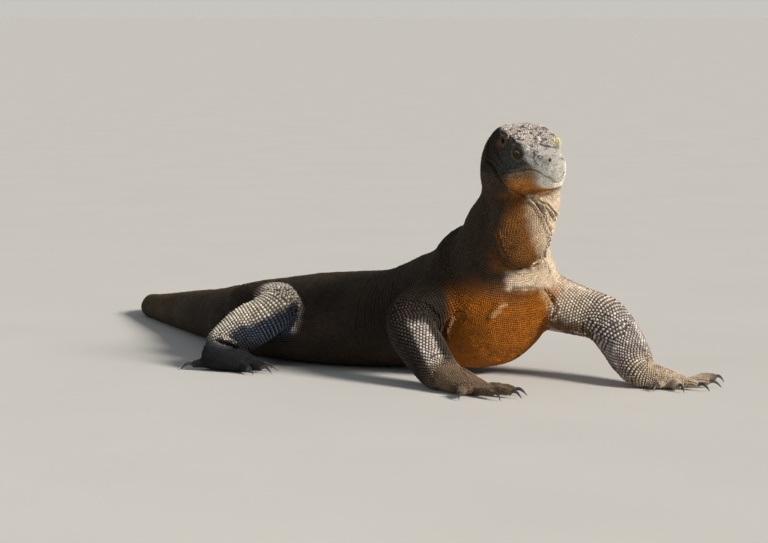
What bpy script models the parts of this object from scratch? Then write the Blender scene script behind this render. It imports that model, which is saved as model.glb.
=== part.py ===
"""Komodo dragon, life size, as a still museum model.

The animal rests on its belly, propped up on both forelegs, with the neck raised, the head
turned a little to its left and the tail hooked round behind it. The body is modelled whole,
from lofts that a voxel remesh fuses, and is then parted with thin cuts into head, neck,
trunk, tail and limbs. Eyes and claws are pieces of their own.

Metres, +Z up. The animal faces -Y, its left is +X, and it lies on the floor, z = 0.
Distances along the ground are written from a point under the trunk, and at the end the
whole model is moved so that the origin is under the middle of its box.
"""

import math

import bmesh
import bpy
import numpy as np
from mathutils import Matrix, Vector

FLESH_VOXEL = 0.0055      # grid that fuses trunk, neck and limbs
SKIN_VOXEL = 0.0036       # finer grid that adds head, hands and feet
FLESH_TRIANGLES = 3900    # the body before it is parted
CORE_TRIANGLES = 1200     # the surface that the limbs come off along
RING_STEP = 0.012         # distance between the rings of a loft
CUT_WIDTH = 0.0004        # saw cut between two neighbouring pieces
SOCKET_ROOM = 0.0005      # round an eyeball or the root of a claw
THREAD = 0.00002          # what is thinner than this is cleared away after a cut
EYE_RADIUS = 0.0105
CLAW_SIDES = 6

UP = Vector((0, 0, 1))

# Neck, trunk and tail, from inside the head to the tip of the tail: centre x, y, z,
# half width, height above the centre, depth below it, how far the top is drawn in.
SPINE = (
    (0.258, -0.556, 0.392, 0.046, 0.046, 0.048, 0.0),    # inside the skull
    (0.236, -0.510, 0.388, 0.067, 0.074, 0.058, 0.0),    # nape
    (0.241, -0.478, 0.350, 0.070, 0.079, 0.060, 0.0),    # throat
    (0.237, -0.452, 0.300, 0.068, 0.078, 0.066, 0.0),    # middle of the neck
    (0.214, -0.418, 0.248, 0.071, 0.084, 0.080, 0.0),
    (0.207, -0.376, 0.196, 0.106, 0.110, 0.116, 0.0),    # base of the neck
    (0.172, -0.327, 0.147, 0.119, 0.105, 0.138, 0.1),    # shoulders
    (0.105, -0.270, 0.108, 0.126, 0.105, 0.106, 0.2),    # chest
    (0.035, -0.222, 0.080, 0.136, 0.101, 0.081, 0.25),
    (-0.040, -0.178, 0.066, 0.146, 0.105, 0.070, 0.3),   # belly
    (-0.115, -0.132, 0.062, 0.142, 0.101, 0.066, 0.3),
    (-0.180, -0.088, 0.060, 0.122, 0.091, 0.063, 0.3),   # loin
    (-0.237, -0.030, 0.060, 0.096, 0.078, 0.062, 0.25),  # pelvis
    (-0.283, 0.055, 0.063, 0.070, 0.057, 0.065, 0.2),    # base of the tail
    (-0.324, 0.160, 0.054, 0.057, 0.049, 0.056, 0.3),
    (-0.378, 0.290, 0.045, 0.046, 0.042, 0.047, 0.4),
    (-0.432, 0.420, 0.035, 0.037, 0.034, 0.037, 0.4),
    (-0.476, 0.530, 0.0280, 0.030, 0.027, 0.030, 0.4),
    (-0.501, 0.602, 0.0240, 0.025, 0.0235, 0.026, 0.4),  # the tail turns back
    (-0.494, 0.660, 0.0210, 0.022, 0.0200, 0.0225, 0.4),
    (-0.448, 0.697, 0.0185, 0.0185, 0.0180, 0.0200, 0.4),
    (-0.375, 0.703, 0.0165, 0.0160, 0.0160, 0.0180, 0.4),
    (-0.270, 0.684, 0.0135, 0.0125, 0.0135, 0.0150, 0.3),
    (-0.160, 0.652, 0.0110, 0.0095, 0.0105, 0.0120, 0.2),
    (-0.060, 0.625, 0.0080, 0.0065, 0.0075, 0.0085, 0.1),
    (0.035, 0.612, 0.0050, 0.0040, 0.0045, 0.0055, 0.0),
)

# The head's own frame: x back from the front of the mouth, y to the left, z up.
SNOUT = Vector((0.2950, -0.650, 0.364))
HEAD_TURN, HEAD_PITCH, HEAD_ROLL = 23.0, -13.0, 3.0
# Rows: distance behind the snout, half width, top, bottom, how far the top is drawn in.
SKULL = (
    (0.000, 0.0095, 0.030, 0.004, 0.0),
    (0.006, 0.0155, 0.037, 0.000, 0.0),
    (0.018, 0.0205, 0.0410, -0.002, 0.0),
    (0.035, 0.0255, 0.0430, -0.002, 0.05),
    (0.060, 0.0325, 0.0475, 0.000, 0.1),
    (0.090, 0.0400, 0.0560, -0.002, 0.08),
    (0.110, 0.0455, 0.0604, -0.007, 0.05),
    (0.130, 0.0500, 0.0620, -0.013, 0.06),
    (0.150, 0.0525, 0.0622, -0.018, 0.10),
    (0.180, 0.0515, 0.0575, -0.022, 0.16),
    (0.202, 0.0460, 0.0420, -0.024, 0.2),
    (0.222, 0.0370, 0.0220, -0.022, 0.2),
    (0.240, 0.0250, -0.002, -0.016, 0.0),
)
JAW = (
    (0.004, 0.0090, 0.012, -0.008, 0.0),
    (0.014, 0.0165, 0.014, -0.0125, 0.0),
    (0.030, 0.0230, 0.018, -0.018, 0.0),
    (0.060, 0.0310, 0.018, -0.028, 0.0),
    (0.090, 0.0400, 0.014, -0.036, 0.0),
    (0.120, 0.0490, 0.006, -0.044, 0.0),
    (0.150, 0.0550, -0.002, -0.053, 0.0),
    (0.180, 0.0530, -0.008, -0.059, 0.0),
    (0.205, 0.0420, -0.014, -0.055, 0.0),
    (0.225, 0.0300, -0.020, -0.046, 0.0),
)
# Rounded masses on each side of the head: place, then half sizes along, across and up.
HEAD_MASSES = (
    ((0.105, 0.0298, 0.0432), (0.041, 0.0117, 0.0142)),   # ridge over the eye
    ((0.156, 0.0390, 0.0080), (0.044, 0.0175, 0.0350)),   # jaw muscle
)
EYE_PLACE = (0.090, 0.0325, 0.0310)

GULAR_POUCH = ((0.238, -0.500, 0.285), (0.056, 0.046, 0.078))   # place, half sizes

# Limbs: x, y, z, half width, half height; from inside the trunk to the wrist or ankle.
LIMBS = {
    "arm_R": (
        (0.170, -0.340, 0.160, 0.060, 0.060),
        (0.130, -0.378, 0.152, 0.054, 0.055),
        (0.086, -0.412, 0.132, 0.047, 0.047),
        (0.044, -0.438, 0.108, 0.041, 0.041),
        (0.053, -0.468, 0.084, 0.040, 0.041),
        (0.072, -0.500, 0.059, 0.039, 0.039),
        (0.094, -0.536, 0.032, 0.036, 0.034),
        (0.114, -0.570, 0.019, 0.034, 0.024),
    ),
    "arm_L": (
        (0.262, -0.350, 0.146, 0.058, 0.058),
        (0.310, -0.376, 0.131, 0.050, 0.050),
        (0.350, -0.402, 0.120, 0.044, 0.044),
        (0.388, -0.424, 0.110, 0.041, 0.041),
        (0.418, -0.452, 0.075, 0.039, 0.040),
        (0.436, -0.490, 0.044, 0.036, 0.035),
        (0.450, -0.522, 0.026, 0.033, 0.026),
        (0.474, -0.536, 0.017, 0.032, 0.018),
    ),
    "leg_R": (
        (-0.248, -0.060, 0.078, 0.055, 0.055),
        (-0.248, -0.120, 0.092, 0.050, 0.051),
        (-0.222, -0.200, 0.110, 0.042, 0.041),
        (-0.191, -0.248, 0.117, 0.036, 0.036),
        (-0.214, -0.266, 0.098, 0.039, 0.038),
        (-0.254, -0.274, 0.074, 0.041, 0.041),
        (-0.292, -0.280, 0.049, 0.033, 0.033),
        (-0.314, -0.284, 0.032, 0.027, 0.027),
    ),
    "leg_L": (
        (-0.215, -0.005, 0.078, 0.055, 0.055),
        (-0.165, 0.036, 0.088, 0.050, 0.049),
        (-0.104, 0.064, 0.098, 0.043, 0.041),
        (-0.052, 0.072, 0.102, 0.036, 0.034),
        (-0.056, 0.102, 0.084, 0.039, 0.037),
        (-0.078, 0.138, 0.064, 0.040, 0.038),
        (-0.098, 0.174, 0.042, 0.032, 0.031),
        (-0.104, 0.196, 0.030, 0.027, 0.026),
    ),
}

# Hands and feet: wrist or ankle, middle of the palm, then each digit's claw tip on the floor.
PAWS = {
    "hand_R": {
        "palm": ((0.110, -0.566, 0.023), (0.150, -0.612, 0.015)),
        "half_width": 0.031,
        "tips": ((0.126, -0.692), (0.196, -0.698), (0.233, -0.674), (0.244, -0.638), (0.228, -0.606)),
    },
    "hand_L": {
        "palm": ((0.462, -0.532, 0.021), (0.506, -0.534, 0.014)),
        "half_width": 0.031,
        "tips": ((0.464, -0.588), (0.516, -0.600), (0.562, -0.582), (0.588, -0.536), (0.602, -0.460)),
    },
    "foot_R": {
        "palm": ((-0.312, -0.284, 0.028), (-0.264, -0.314, 0.019)),
        "half_width": 0.032,
        "tips": ((-0.206, -0.280), (-0.194, -0.318), (-0.204, -0.352), (-0.236, -0.374), (-0.372, -0.294)),
    },
    "foot_L": {
        "palm": ((-0.104, 0.196, 0.026), (-0.062, 0.226, 0.018)),
        "half_width": 0.032,
        "tips": ((-0.012, 0.180), (0.016, 0.212), (0.020, 0.254), (-0.002, 0.292), (-0.142, 0.262)),
    },
}
DIGIT_RADIUS = 0.0077
KNUCKLE_HEIGHT = 0.017
CLAW_LENGTH = 0.026
CLAW_RADIUS = 0.0038

# Saw cuts, in order: the piece that is cut, the name of what comes off, a point on the cut,
# the direction of what comes off, and the disc's radius.
TRUNK_CUTS = (
    ("belly", "head", (0.236, -0.498, 0.350), (0.25, -0.66, 0.71), 0.125),
    ("belly", "neck", (0.222, -0.415, 0.245), (0.25, -0.60, 0.76), 0.145),
    ("belly", "chest", (-0.002, -0.200, 0.090), (0.86, -0.51, 0.06), 0.176),
    ("belly", "tail_base", (-0.275, 0.045, 0.066), (-0.46, 0.88, -0.10), 0.105),
    ("tail_base", "tail_middle", (-0.391, 0.324, 0.042), (-0.37, 0.93, -0.07), 0.080),
    ("tail_middle", "tail_bend", (-0.480, 0.540, 0.026), (-0.36, 0.93, -0.05), 0.060),
    ("tail_bend", "tail_tip", (-0.400, 0.702, 0.017), (0.99, 0.10, -0.03), 0.060),
)
LIMB_CUTS = (
    ("upper_arm_R", "forearm_R", (0.049, -0.455, 0.094), (0.10, -0.80, -0.60), 0.080),
    ("forearm_R", "hand_R", (0.100, -0.548, 0.026), (0.55, -0.76, -0.36), 0.080),
    ("upper_arm_L", "forearm_L", (0.404, -0.438, 0.094), (0.50, -0.50, -0.70), 0.080),
    ("forearm_L", "hand_L", (0.452, -0.524, 0.027), (0.72, -0.55, -0.42), 0.080),
    ("thigh_R", "shank_R", (-0.205, -0.250, 0.105), (-0.41, -0.87, -0.27), 0.075),
    ("shank_R", "foot_R", (-0.290, -0.286, 0.038), (-0.20, -0.35, -0.91), 0.065),
    ("thigh_L", "shank_L", (-0.062, 0.090, 0.092), (0.30, 0.90, -0.30), 0.075),
    ("shank_L", "foot_L", (-0.097, 0.183, 0.036), (0.00, 0.85, -0.52), 0.050),
)
# Limbs come off along the trunk's own skin, this far outside its loft.
LIMB_ROOT = 0.003
LIMB_ROOTS = {"chest": ("upper_arm_R", "upper_arm_L"), "belly": ("thigh_R", "thigh_L")}
LIMB_OF = {"upper_arm_R": "arm_R", "upper_arm_L": "arm_L", "thigh_R": "leg_R", "thigh_L": "leg_L"}


# ---------------------------------------------------------------- tools

def clear_scene():
    for obj in list(bpy.data.objects):
        bpy.data.objects.remove(obj)


def smooth_rows(rows, step=RING_STEP):
    """Rows read at an even distance from a cubic that passes through the given ones."""
    table = np.array(rows, float)
    span = np.linalg.norm(np.diff(table[:, :3], axis=0), axis=1)
    at = np.concatenate([[0.0], np.cumsum(span)])
    slope = np.gradient(table, at, axis=0)
    wanted = np.linspace(0.0, at[-1], max(3, math.ceil(at[-1] / step) + 1))
    before = np.clip(np.searchsorted(at, wanted, side="right") - 1, 0, len(at) - 2)
    gap = span[before]
    u = ((wanted - at[before]) / gap)[:, None]
    gap = gap[:, None]
    return (
        (2 * u**3 - 3 * u**2 + 1) * table[before]
        + (u**3 - 2 * u**2 + u) * gap * slope[before]
        + (3 * u**2 - 2 * u**3) * table[before + 1]
        + (u**3 - u**2) * gap * slope[before + 1]
    )


def rounded(value, exponent):
    return math.copysign(abs(value) ** (2 / exponent), value)


def ring(centre, side, up, half_width, top, bottom, sides, exponent=2.0, drawn_in=0.0):
    """One closed outline, `drawn_in` narrowing it towards its top."""
    points = []
    for k in range(sides):
        angle = math.tau * k / sides
        across, high = rounded(math.cos(angle), exponent), rounded(math.sin(angle), exponent)
        width = half_width * (1 - drawn_in * max(0.0, high))
        height = (top if high > 0 else bottom) * high
        points.append(centre + side * (across * width) + up * height)
    return points


def add_loft(bm, rings):
    """A closed skin over the rings, added to bm."""
    loops = [[bm.verts.new(p) for p in points] for points in rings]
    for one, two in zip(loops, loops[1:]):
        for k in range(len(one)):
            j = (k + 1) % len(one)
            bm.faces.new((one[k], one[j], two[j], two[k]))
    for loop, inward in ((loops[0], 1), (loops[-1], -1)):
        middle = bm.verts.new(sum((v.co for v in loop), Vector()) / len(loop))
        for k in range(len(loop)):
            pair = (loop[k], loop[(k + 1) % len(loop)])
            bm.faces.new((middle, *pair[::-inward]))


def tangents(centres):
    """Unit directions from each centre towards the start of the row."""
    ahead = [centres[0]] + centres[:-1]
    behind = centres[1:] + [centres[-1]]
    return [(a - b).normalized() for a, b in zip(ahead, behind)]


def add_spine(bm, rows, grow=0.0, sides=28):
    table = smooth_rows(rows) + np.array((0, 0, 0, grow, grow, grow, 0))
    centres = [Vector(row[:3]) for row in table]
    rings = []
    for row, centre, ahead in zip(table, centres, tangents(centres)):
        side = UP.cross(ahead).normalized()
        rings.append(ring(centre, side, ahead.cross(side), *row[3:6], sides, 2.35, row[6]))
    add_loft(bm, rings)


def add_limb(bm, rows, sides=20):
    table = smooth_rows(rows)
    centres = [Vector(row[:3]) for row in table]
    side = None
    rings = []
    for row, centre, ahead in zip(table, centres, tangents(centres)):
        level = UP.cross(ahead)
        if side is None or level.length > 0.3:
            level.normalize()
            side = level if side is None or side.dot(level) > 0 else -level
        side = (side - ahead * side.dot(ahead)).normalized()
        half_width, half_height = row[3:5]
        rings.append(
            ring(centre, side, ahead.cross(side), half_width, half_height, half_height, sides, 2.15)
        )
    add_loft(bm, rings)


def add_ellipsoid(bm, matrix, half_sizes):
    scale = Matrix.Diagonal((*half_sizes, 1))
    bmesh.ops.create_uvsphere(
        bm, u_segments=20, v_segments=12, radius=1, matrix=matrix @ scale
    )


def object_of(name, bm, helper=False):
    bmesh.ops.recalc_face_normals(bm, faces=bm.faces)
    mesh = bpy.data.meshes.new(name)
    bm.to_mesh(mesh)
    bm.free()
    obj = bpy.data.objects.new(name, mesh)
    bpy.context.scene.collection.objects.link(obj)
    if helper:
        obj.hide_render = True
        obj.display_type = "WIRE"
    return obj


def apply_modifiers(obj):
    """Replaces the object's mesh by what its modifiers make of it."""
    graph = bpy.context.evaluated_depsgraph_get()
    made = bpy.data.meshes.new_from_object(obj.evaluated_get(graph))
    obj.modifiers.clear()
    obj.data = made


def fuse(obj, voxel, smoothing):
    """Makes one skin of overlapping lofts and eases the creases between them."""
    remesh = obj.modifiers.new("Fuse", "REMESH")
    remesh.mode = "VOXEL"
    remesh.voxel_size = voxel
    ease = obj.modifiers.new("Ease", "SMOOTH")
    ease.factor = 0.5
    ease.iterations = smoothing
    apply_modifiers(obj)


def boolean(obj, tool, operation):
    """Cuts with the tool, and clears away the threads that a cut can leave."""
    cut = obj.modifiers.new(operation.title(), "BOOLEAN")
    cut.operation = operation
    cut.object = tool
    apply_modifiers(obj)
    bm = bmesh.new()
    bm.from_mesh(obj.data)
    bmesh.ops.dissolve_degenerate(bm, dist=THREAD, edges=bm.edges)
    bm.to_mesh(obj.data)
    bm.free()


# ---------------------------------------------------------------- head

def head_matrix():
    """From the head's own frame to the model's."""
    turn, pitch = math.radians(HEAD_TURN), math.radians(HEAD_PITCH)
    forward = Vector(
        (math.sin(turn) * math.cos(pitch), -math.cos(turn) * math.cos(pitch), math.sin(pitch))
    )
    left = UP.cross(forward).normalized()
    left.rotate(Matrix.Rotation(math.radians(HEAD_ROLL), 3, forward))
    up = forward.cross(left)
    matrix = Matrix((-forward, left, up)).transposed().to_4x4()
    matrix.translation = SNOUT
    return matrix


def add_head_loft(bm, rows, exponent):
    place = head_matrix()
    side = place.to_3x3() @ Vector((0, 1, 0))
    up = place.to_3x3() @ UP
    table = smooth_rows([(row[0], 0, 0, *row[1:]) for row in rows], 0.008)
    rings = []
    for back, _, _, half_width, top, bottom, drawn_in in table:
        middle = (top + bottom) / 2
        centre = place @ Vector((back, 0, middle))
        half_height = top - middle
        rings.append(
            ring(centre, side, up, half_width, half_height, half_height, 24, exponent, drawn_in)
        )
    add_loft(bm, rings)


def add_head(bm):
    add_head_loft(bm, SKULL, 3.3)
    add_head_loft(bm, JAW, 2.3)
    for place, half_sizes in HEAD_MASSES:
        for hand in (1, -1):
            centre = Vector((place[0], hand * place[1], place[2]))
            add_ellipsoid(bm, head_matrix() @ Matrix.Translation(centre), half_sizes)


def eye_centre(hand):
    back, across, high = EYE_PLACE
    return head_matrix() @ Vector((back, hand * across, high))


# ---------------------------------------------------------------- hands and feet

def digit_rows(paw, tip):
    """Centre line of a digit, from inside the palm over the knuckle to the claw's root."""
    wrist, palm = (Vector(p) for p in paw["palm"])
    end = Vector((*tip, 0))
    root = wrist.lerp(palm, 0.75)
    away = Vector((end.x - root.x, end.y - root.y, 0))
    reach = away.length
    away.normalize()
    along = reach - CLAW_LENGTH * 0.8
    flat_root = Vector((root.x, root.y, 0))
    heights = ((0.25, 0.009), (0.55, 0.010), (0.80, KNUCKLE_HEIGHT - 0.004), (1.0, 0.0095))
    rows = [(*root, DIGIT_RADIUS, DIGIT_RADIUS)]
    for share, height in heights:
        swell = 1.0 if share in (0.25, 0.55) else (1.08 if share < 1 else 0.85)
        place = flat_root + away * (along * share)
        rows.append((place.x, place.y, height, DIGIT_RADIUS * swell, DIGIT_RADIUS * swell))
    return rows


def add_paw(bm, paw):
    wrist, palm = (Vector(p) for p in paw["palm"])
    along = (palm - wrist).normalized()
    wide = paw["half_width"]
    rows = (
        (*(wrist - along * 0.012), wide * 0.80, wrist.z * 0.9),
        (*wrist, wide * 0.95, wrist.z),
        (*palm, wide, palm.z),
        (*(palm + along * 0.020), wide * 0.85, palm.z * 0.8),
    )
    add_limb(bm, rows)
    for tip in paw["tips"]:
        add_limb(bm, digit_rows(paw, tip), 12)


def claw_rings(paw, tip, grow):
    """A curved, tapering claw from the end of its digit down to the floor."""
    rows = digit_rows(paw, tip)
    start = Vector(rows[-1][:3])
    away = (start - Vector(rows[-2][:3])) * Vector((1, 1, 0))
    away.normalize()
    side = away.cross(UP)
    start -= away * 0.003
    end = Vector((*tip, 0.0012))
    rings = []
    for step in range(5):
        share = step / 4
        centre = start.lerp(end, share) + UP * (0.0062 * math.sin(math.pi * share))
        lean = away.lerp(-UP, 0.15 + 0.6 * share).normalized()
        radius = CLAW_RADIUS * (1 - share) ** 0.75 + 0.0009
        high = side.cross(lean)
        rings.append(
            ring(centre, side, high, radius * 0.8 + grow, radius + grow, radius + grow, CLAW_SIDES)
        )
    if grow:
        rings[-1] = [p + (end - start).normalized() * 0.001 for p in rings[-1]]
        rings[0] = [p - away * 0.0006 for p in rings[0]]
    return rings


# ---------------------------------------------------------------- body

def whole_body():
    """The animal's flesh as one closed skin, a little of it below the floor."""
    bm = bmesh.new()
    add_spine(bm, SPINE)
    for rows in LIMBS.values():
        add_limb(bm, rows)
    place, half_sizes = GULAR_POUCH
    turn = Matrix.Rotation(math.radians(HEAD_TURN), 4, "Z")
    add_ellipsoid(bm, Matrix.Translation(place) @ turn, half_sizes)
    body = object_of("body", bm)
    fuse(body, FLESH_VOXEL, 9)

    bm = bmesh.new()
    bm.from_mesh(body.data)
    add_head(bm)
    for paw in PAWS.values():
        add_paw(bm, paw)
    bpy.data.objects.remove(body)
    body = object_of("body", bm)
    fuse(body, SKIN_VOXEL, 3)
    return body


def decimate(body, triangles):
    now = sum(len(face.vertices) - 2 for face in body.data.polygons)
    fewer = body.modifiers.new("Fewer", "DECIMATE")
    fewer.ratio = triangles / now
    apply_modifiers(body)


def rest_on_floor(body):
    """Cuts away what is below the floor, which leaves flats at one level."""
    bm = bmesh.new()
    bmesh.ops.create_cube(bm, size=4, matrix=Matrix.Translation((0, 0, 2)))
    above = object_of("above_floor", bm, helper=True)
    boolean(body, above, "INTERSECT")
    bpy.data.objects.remove(above)


def cut_sockets(body):
    """Cuts out the room for eyeballs and claws, a hair larger than they are."""
    bm = bmesh.new()
    for hand in (1, -1):
        bmesh.ops.create_icosphere(
            bm, subdivisions=2, radius=EYE_RADIUS + SOCKET_ROOM,
            matrix=Matrix.Translation(eye_centre(hand)),
        )
    for paw in PAWS.values():
        for tip in paw["tips"]:
            add_loft(bm, claw_rings(paw, tip, SOCKET_ROOM))
    rooms = object_of("rooms", bm, helper=True)
    boolean(body, rooms, "DIFFERENCE")
    bpy.data.objects.remove(rooms)


def loose_bodies(obj):
    """The object's separate closed skins, each as a list of face indexes."""
    bm = bmesh.new()
    bm.from_mesh(obj.data)
    left = set(bm.faces)
    found = []
    while left:
        body = [left.pop()]
        for face in body:
            for edge in face.edges:
                beside = left.intersection(edge.link_faces)
                body.extend(beside)
                left -= beside
        found.append(sorted(face.index for face in body))
    bm.free()
    return found


def object_of_faces(name, mesh, faces):
    used = sorted({v for f in faces for v in mesh.polygons[f].vertices})
    place = {v: i for i, v in enumerate(used)}
    corners = [[place[v] for v in mesh.polygons[f].vertices] for f in faces]
    made = bpy.data.meshes.new(name)
    made.from_pydata([mesh.vertices[v].co for v in used], [], corners)
    obj = bpy.data.objects.new(name, made)
    bpy.context.scene.collection.objects.link(obj)
    return obj


def saw(piece, name, place, across, radius):
    """Parts a piece with a thin disc, and returns what stays and what comes off."""
    place, across = Vector(place), Vector(across).normalized()
    bm = bmesh.new()
    turn = across.to_track_quat("Z", "Y").to_matrix().to_4x4()
    bmesh.ops.create_cone(
        bm, cap_ends=True, segments=24, radius1=radius, radius2=radius,
        depth=CUT_WIDTH, matrix=Matrix.Translation(place) @ turn,
    )
    blade = object_of("blade", bm, helper=True)
    boolean(piece, blade, "DIFFERENCE")
    bpy.data.objects.remove(blade)

    mesh = piece.data

    def offset(faces):
        """How far the body's surface near the cut lies to the side that comes off."""
        points = [mesh.vertices[v].co - place for f in faces for v in mesh.polygons[f].vertices]
        near = [p.dot(across) for p in points if p.length < 1.5 * radius]
        return sum(near) / max(len(near), 1)

    two = sorted(sorted(loose_bodies(piece), key=len)[-2:], key=offset)
    kept, off = (object_of_faces(n, mesh, f) for n, f in zip((piece.name, name), two))
    name_kept = piece.name
    bpy.data.objects.remove(piece)
    kept.name = name_kept
    return kept, off


def trunk_core():
    """Neck, trunk and tail alone, a little fuller than they are."""
    bm = bmesh.new()
    add_spine(bm, SPINE, LIMB_ROOT)
    core = object_of("core", bm, helper=True)
    fuse(core, FLESH_VOXEL, 9)
    decimate(core, CORE_TRIANGLES)
    return core


def take_limbs_off(piece, names):
    """Parts two limbs from a length of the trunk, along the trunk's own skin."""
    limbs = piece.copy()
    limbs.data = piece.data.copy()
    bpy.context.scene.collection.objects.link(limbs)
    core = trunk_core()
    boolean(piece, core, "INTERSECT")
    for vertex in core.data.vertices:
        vertex.co += vertex.normal * CUT_WIDTH
    boolean(limbs, core, "DIFFERENCE")
    bpy.data.objects.remove(core)

    found = {}
    for name in names:
        joint = Vector(LIMBS[LIMB_OF[name]][3][:3])
        faces = min(
            sorted(loose_bodies(limbs), key=len)[-2:],
            key=lambda body: min((limbs.data.polygons[f].center - joint).length for f in body),
        )
        found[name] = object_of_faces(name, limbs.data, faces)
    largest = max(loose_bodies(piece), key=len)
    found[piece.name] = object_of_faces("trunk", piece.data, largest)
    name = piece.name
    bpy.data.objects.remove(limbs)
    bpy.data.objects.remove(piece)
    found[name].name = name
    return found


def part_flesh(body):
    """Saws the body into its nodes."""
    body.name = TRUNK_CUTS[0][0]
    pieces = {body.name: body}
    for source, name, *cut in TRUNK_CUTS:
        pieces[source], pieces[name] = saw(pieces[source], name, *cut)
    for trunk, limbs in LIMB_ROOTS.items():
        pieces.update(take_limbs_off(pieces[trunk], limbs))
    for source, name, *cut in LIMB_CUTS:
        pieces[source], pieces[name] = saw(pieces[source], name, *cut)


# ---------------------------------------------------------------- eyes, claws, colours

def make_eyes():
    for hand, name in ((1, "eye_L"), (-1, "eye_R")):
        bm = bmesh.new()
        bmesh.ops.create_icosphere(bm, subdivisions=2, radius=EYE_RADIUS)
        object_of(name, bm).location = eye_centre(hand)


def make_claws():
    for paw_name, paw in PAWS.items():
        for number, tip in enumerate(paw["tips"], 1):
            bm = bmesh.new()
            add_loft(bm, claw_rings(paw, tip, 0))
            object_of(f"claw_{paw_name}_{number}", bm)


def material(name, colour, roughness):
    made = bpy.data.materials.new(name)
    made.use_nodes = True
    shader = made.node_tree.nodes["Principled BSDF"]
    shader.inputs["Base Color"].default_value = (*colour, 1)
    shader.inputs["Roughness"].default_value = roughness
    return made


def finish_nodes():
    hide = material("hide", (0.15, 0.12, 0.09), 0.75)
    horn = material("claw_horn", (0.05, 0.05, 0.055), 0.35)
    eye = material("eye", (0.06, 0.035, 0.015), 0.1)
    for obj in bpy.data.objects:
        kind = eye if obj.name.startswith("eye") else horn if obj.name.startswith("claw") else hide
        obj.data.materials.append(kind)
        obj.data.shade_smooth()


def centre_on_origin():
    """Moves the model so that the origin is on the floor, under the middle of its box."""
    bpy.context.view_layer.update()
    corners = [
        obj.matrix_world @ vertex.co for obj in bpy.data.objects for vertex in obj.data.vertices
    ]
    middle = [
        (min(c[i] for c in corners) + max(c[i] for c in corners)) / 2 for i in range(2)
    ]
    for obj in bpy.data.objects:
        obj.location -= Vector((*middle, 0))


def main():
    clear_scene()
    body = whole_body()
    decimate(body, FLESH_TRIANGLES)
    rest_on_floor(body)
    cut_sockets(body)
    part_flesh(body)
    make_eyes()
    make_claws()
    finish_nodes()
    centre_on_origin()


main()
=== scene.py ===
"""Komodo dragon, life size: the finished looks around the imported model.

One skin takes the place of the flesh nodes, with the folds, mouth, nostrils, ears and lids
worked into it. Solid scales lie over it in joined meshes, one for each stretch of the body,
and follow the rows that run round trunk, tail and limbs. Finer eyeballs and claws stand for
the plain ones.

Metres, +Z up. Shapes are written in the same numbers as the solids, from a point under the
trunk, and SHIFT carries them into the frame.
"""

import itertools
import math

import bmesh
import bpy
import numpy as np
from mathutils import Matrix, Vector
from mathutils.bvhtree import BVHTree
from mathutils.kdtree import KDTree


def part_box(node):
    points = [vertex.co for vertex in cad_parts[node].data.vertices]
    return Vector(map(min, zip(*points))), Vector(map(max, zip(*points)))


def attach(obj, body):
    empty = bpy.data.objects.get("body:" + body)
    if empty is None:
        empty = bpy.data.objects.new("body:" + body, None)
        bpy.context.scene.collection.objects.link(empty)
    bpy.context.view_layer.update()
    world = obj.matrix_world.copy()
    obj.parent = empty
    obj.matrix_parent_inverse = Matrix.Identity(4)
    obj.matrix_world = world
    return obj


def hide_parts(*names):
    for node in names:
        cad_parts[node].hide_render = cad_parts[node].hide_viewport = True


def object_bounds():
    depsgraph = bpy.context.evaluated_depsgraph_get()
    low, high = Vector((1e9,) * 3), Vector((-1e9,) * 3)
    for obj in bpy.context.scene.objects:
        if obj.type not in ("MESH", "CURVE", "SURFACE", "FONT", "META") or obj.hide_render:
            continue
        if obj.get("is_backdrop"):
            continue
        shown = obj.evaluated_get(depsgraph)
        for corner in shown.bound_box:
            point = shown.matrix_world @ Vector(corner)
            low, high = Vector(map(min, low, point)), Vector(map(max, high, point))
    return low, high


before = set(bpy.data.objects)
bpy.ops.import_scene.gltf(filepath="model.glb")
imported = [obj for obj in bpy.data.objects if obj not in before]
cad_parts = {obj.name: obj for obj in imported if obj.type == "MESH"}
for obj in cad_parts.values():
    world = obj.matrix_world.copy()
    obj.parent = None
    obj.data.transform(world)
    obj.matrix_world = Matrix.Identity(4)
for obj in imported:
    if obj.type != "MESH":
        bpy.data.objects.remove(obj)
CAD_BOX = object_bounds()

# ---------------------------------------------------------------- sizes

FLESH_VOXEL = 0.0055      # grid that fuses trunk, neck and limbs
SKIN_VOXEL = 0.0028       # finer grid of the finished skin
RING_STEP = 0.012         # distance between the rings of a loft
FLOOR_GAP = 0.0004        # the lowest point of the skin
COAT_DEPTH = 0.0011       # the skin lies this far inside the solids
EYE_RADIUS = 0.0105
UP = Vector((0, 0, 1))

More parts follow.
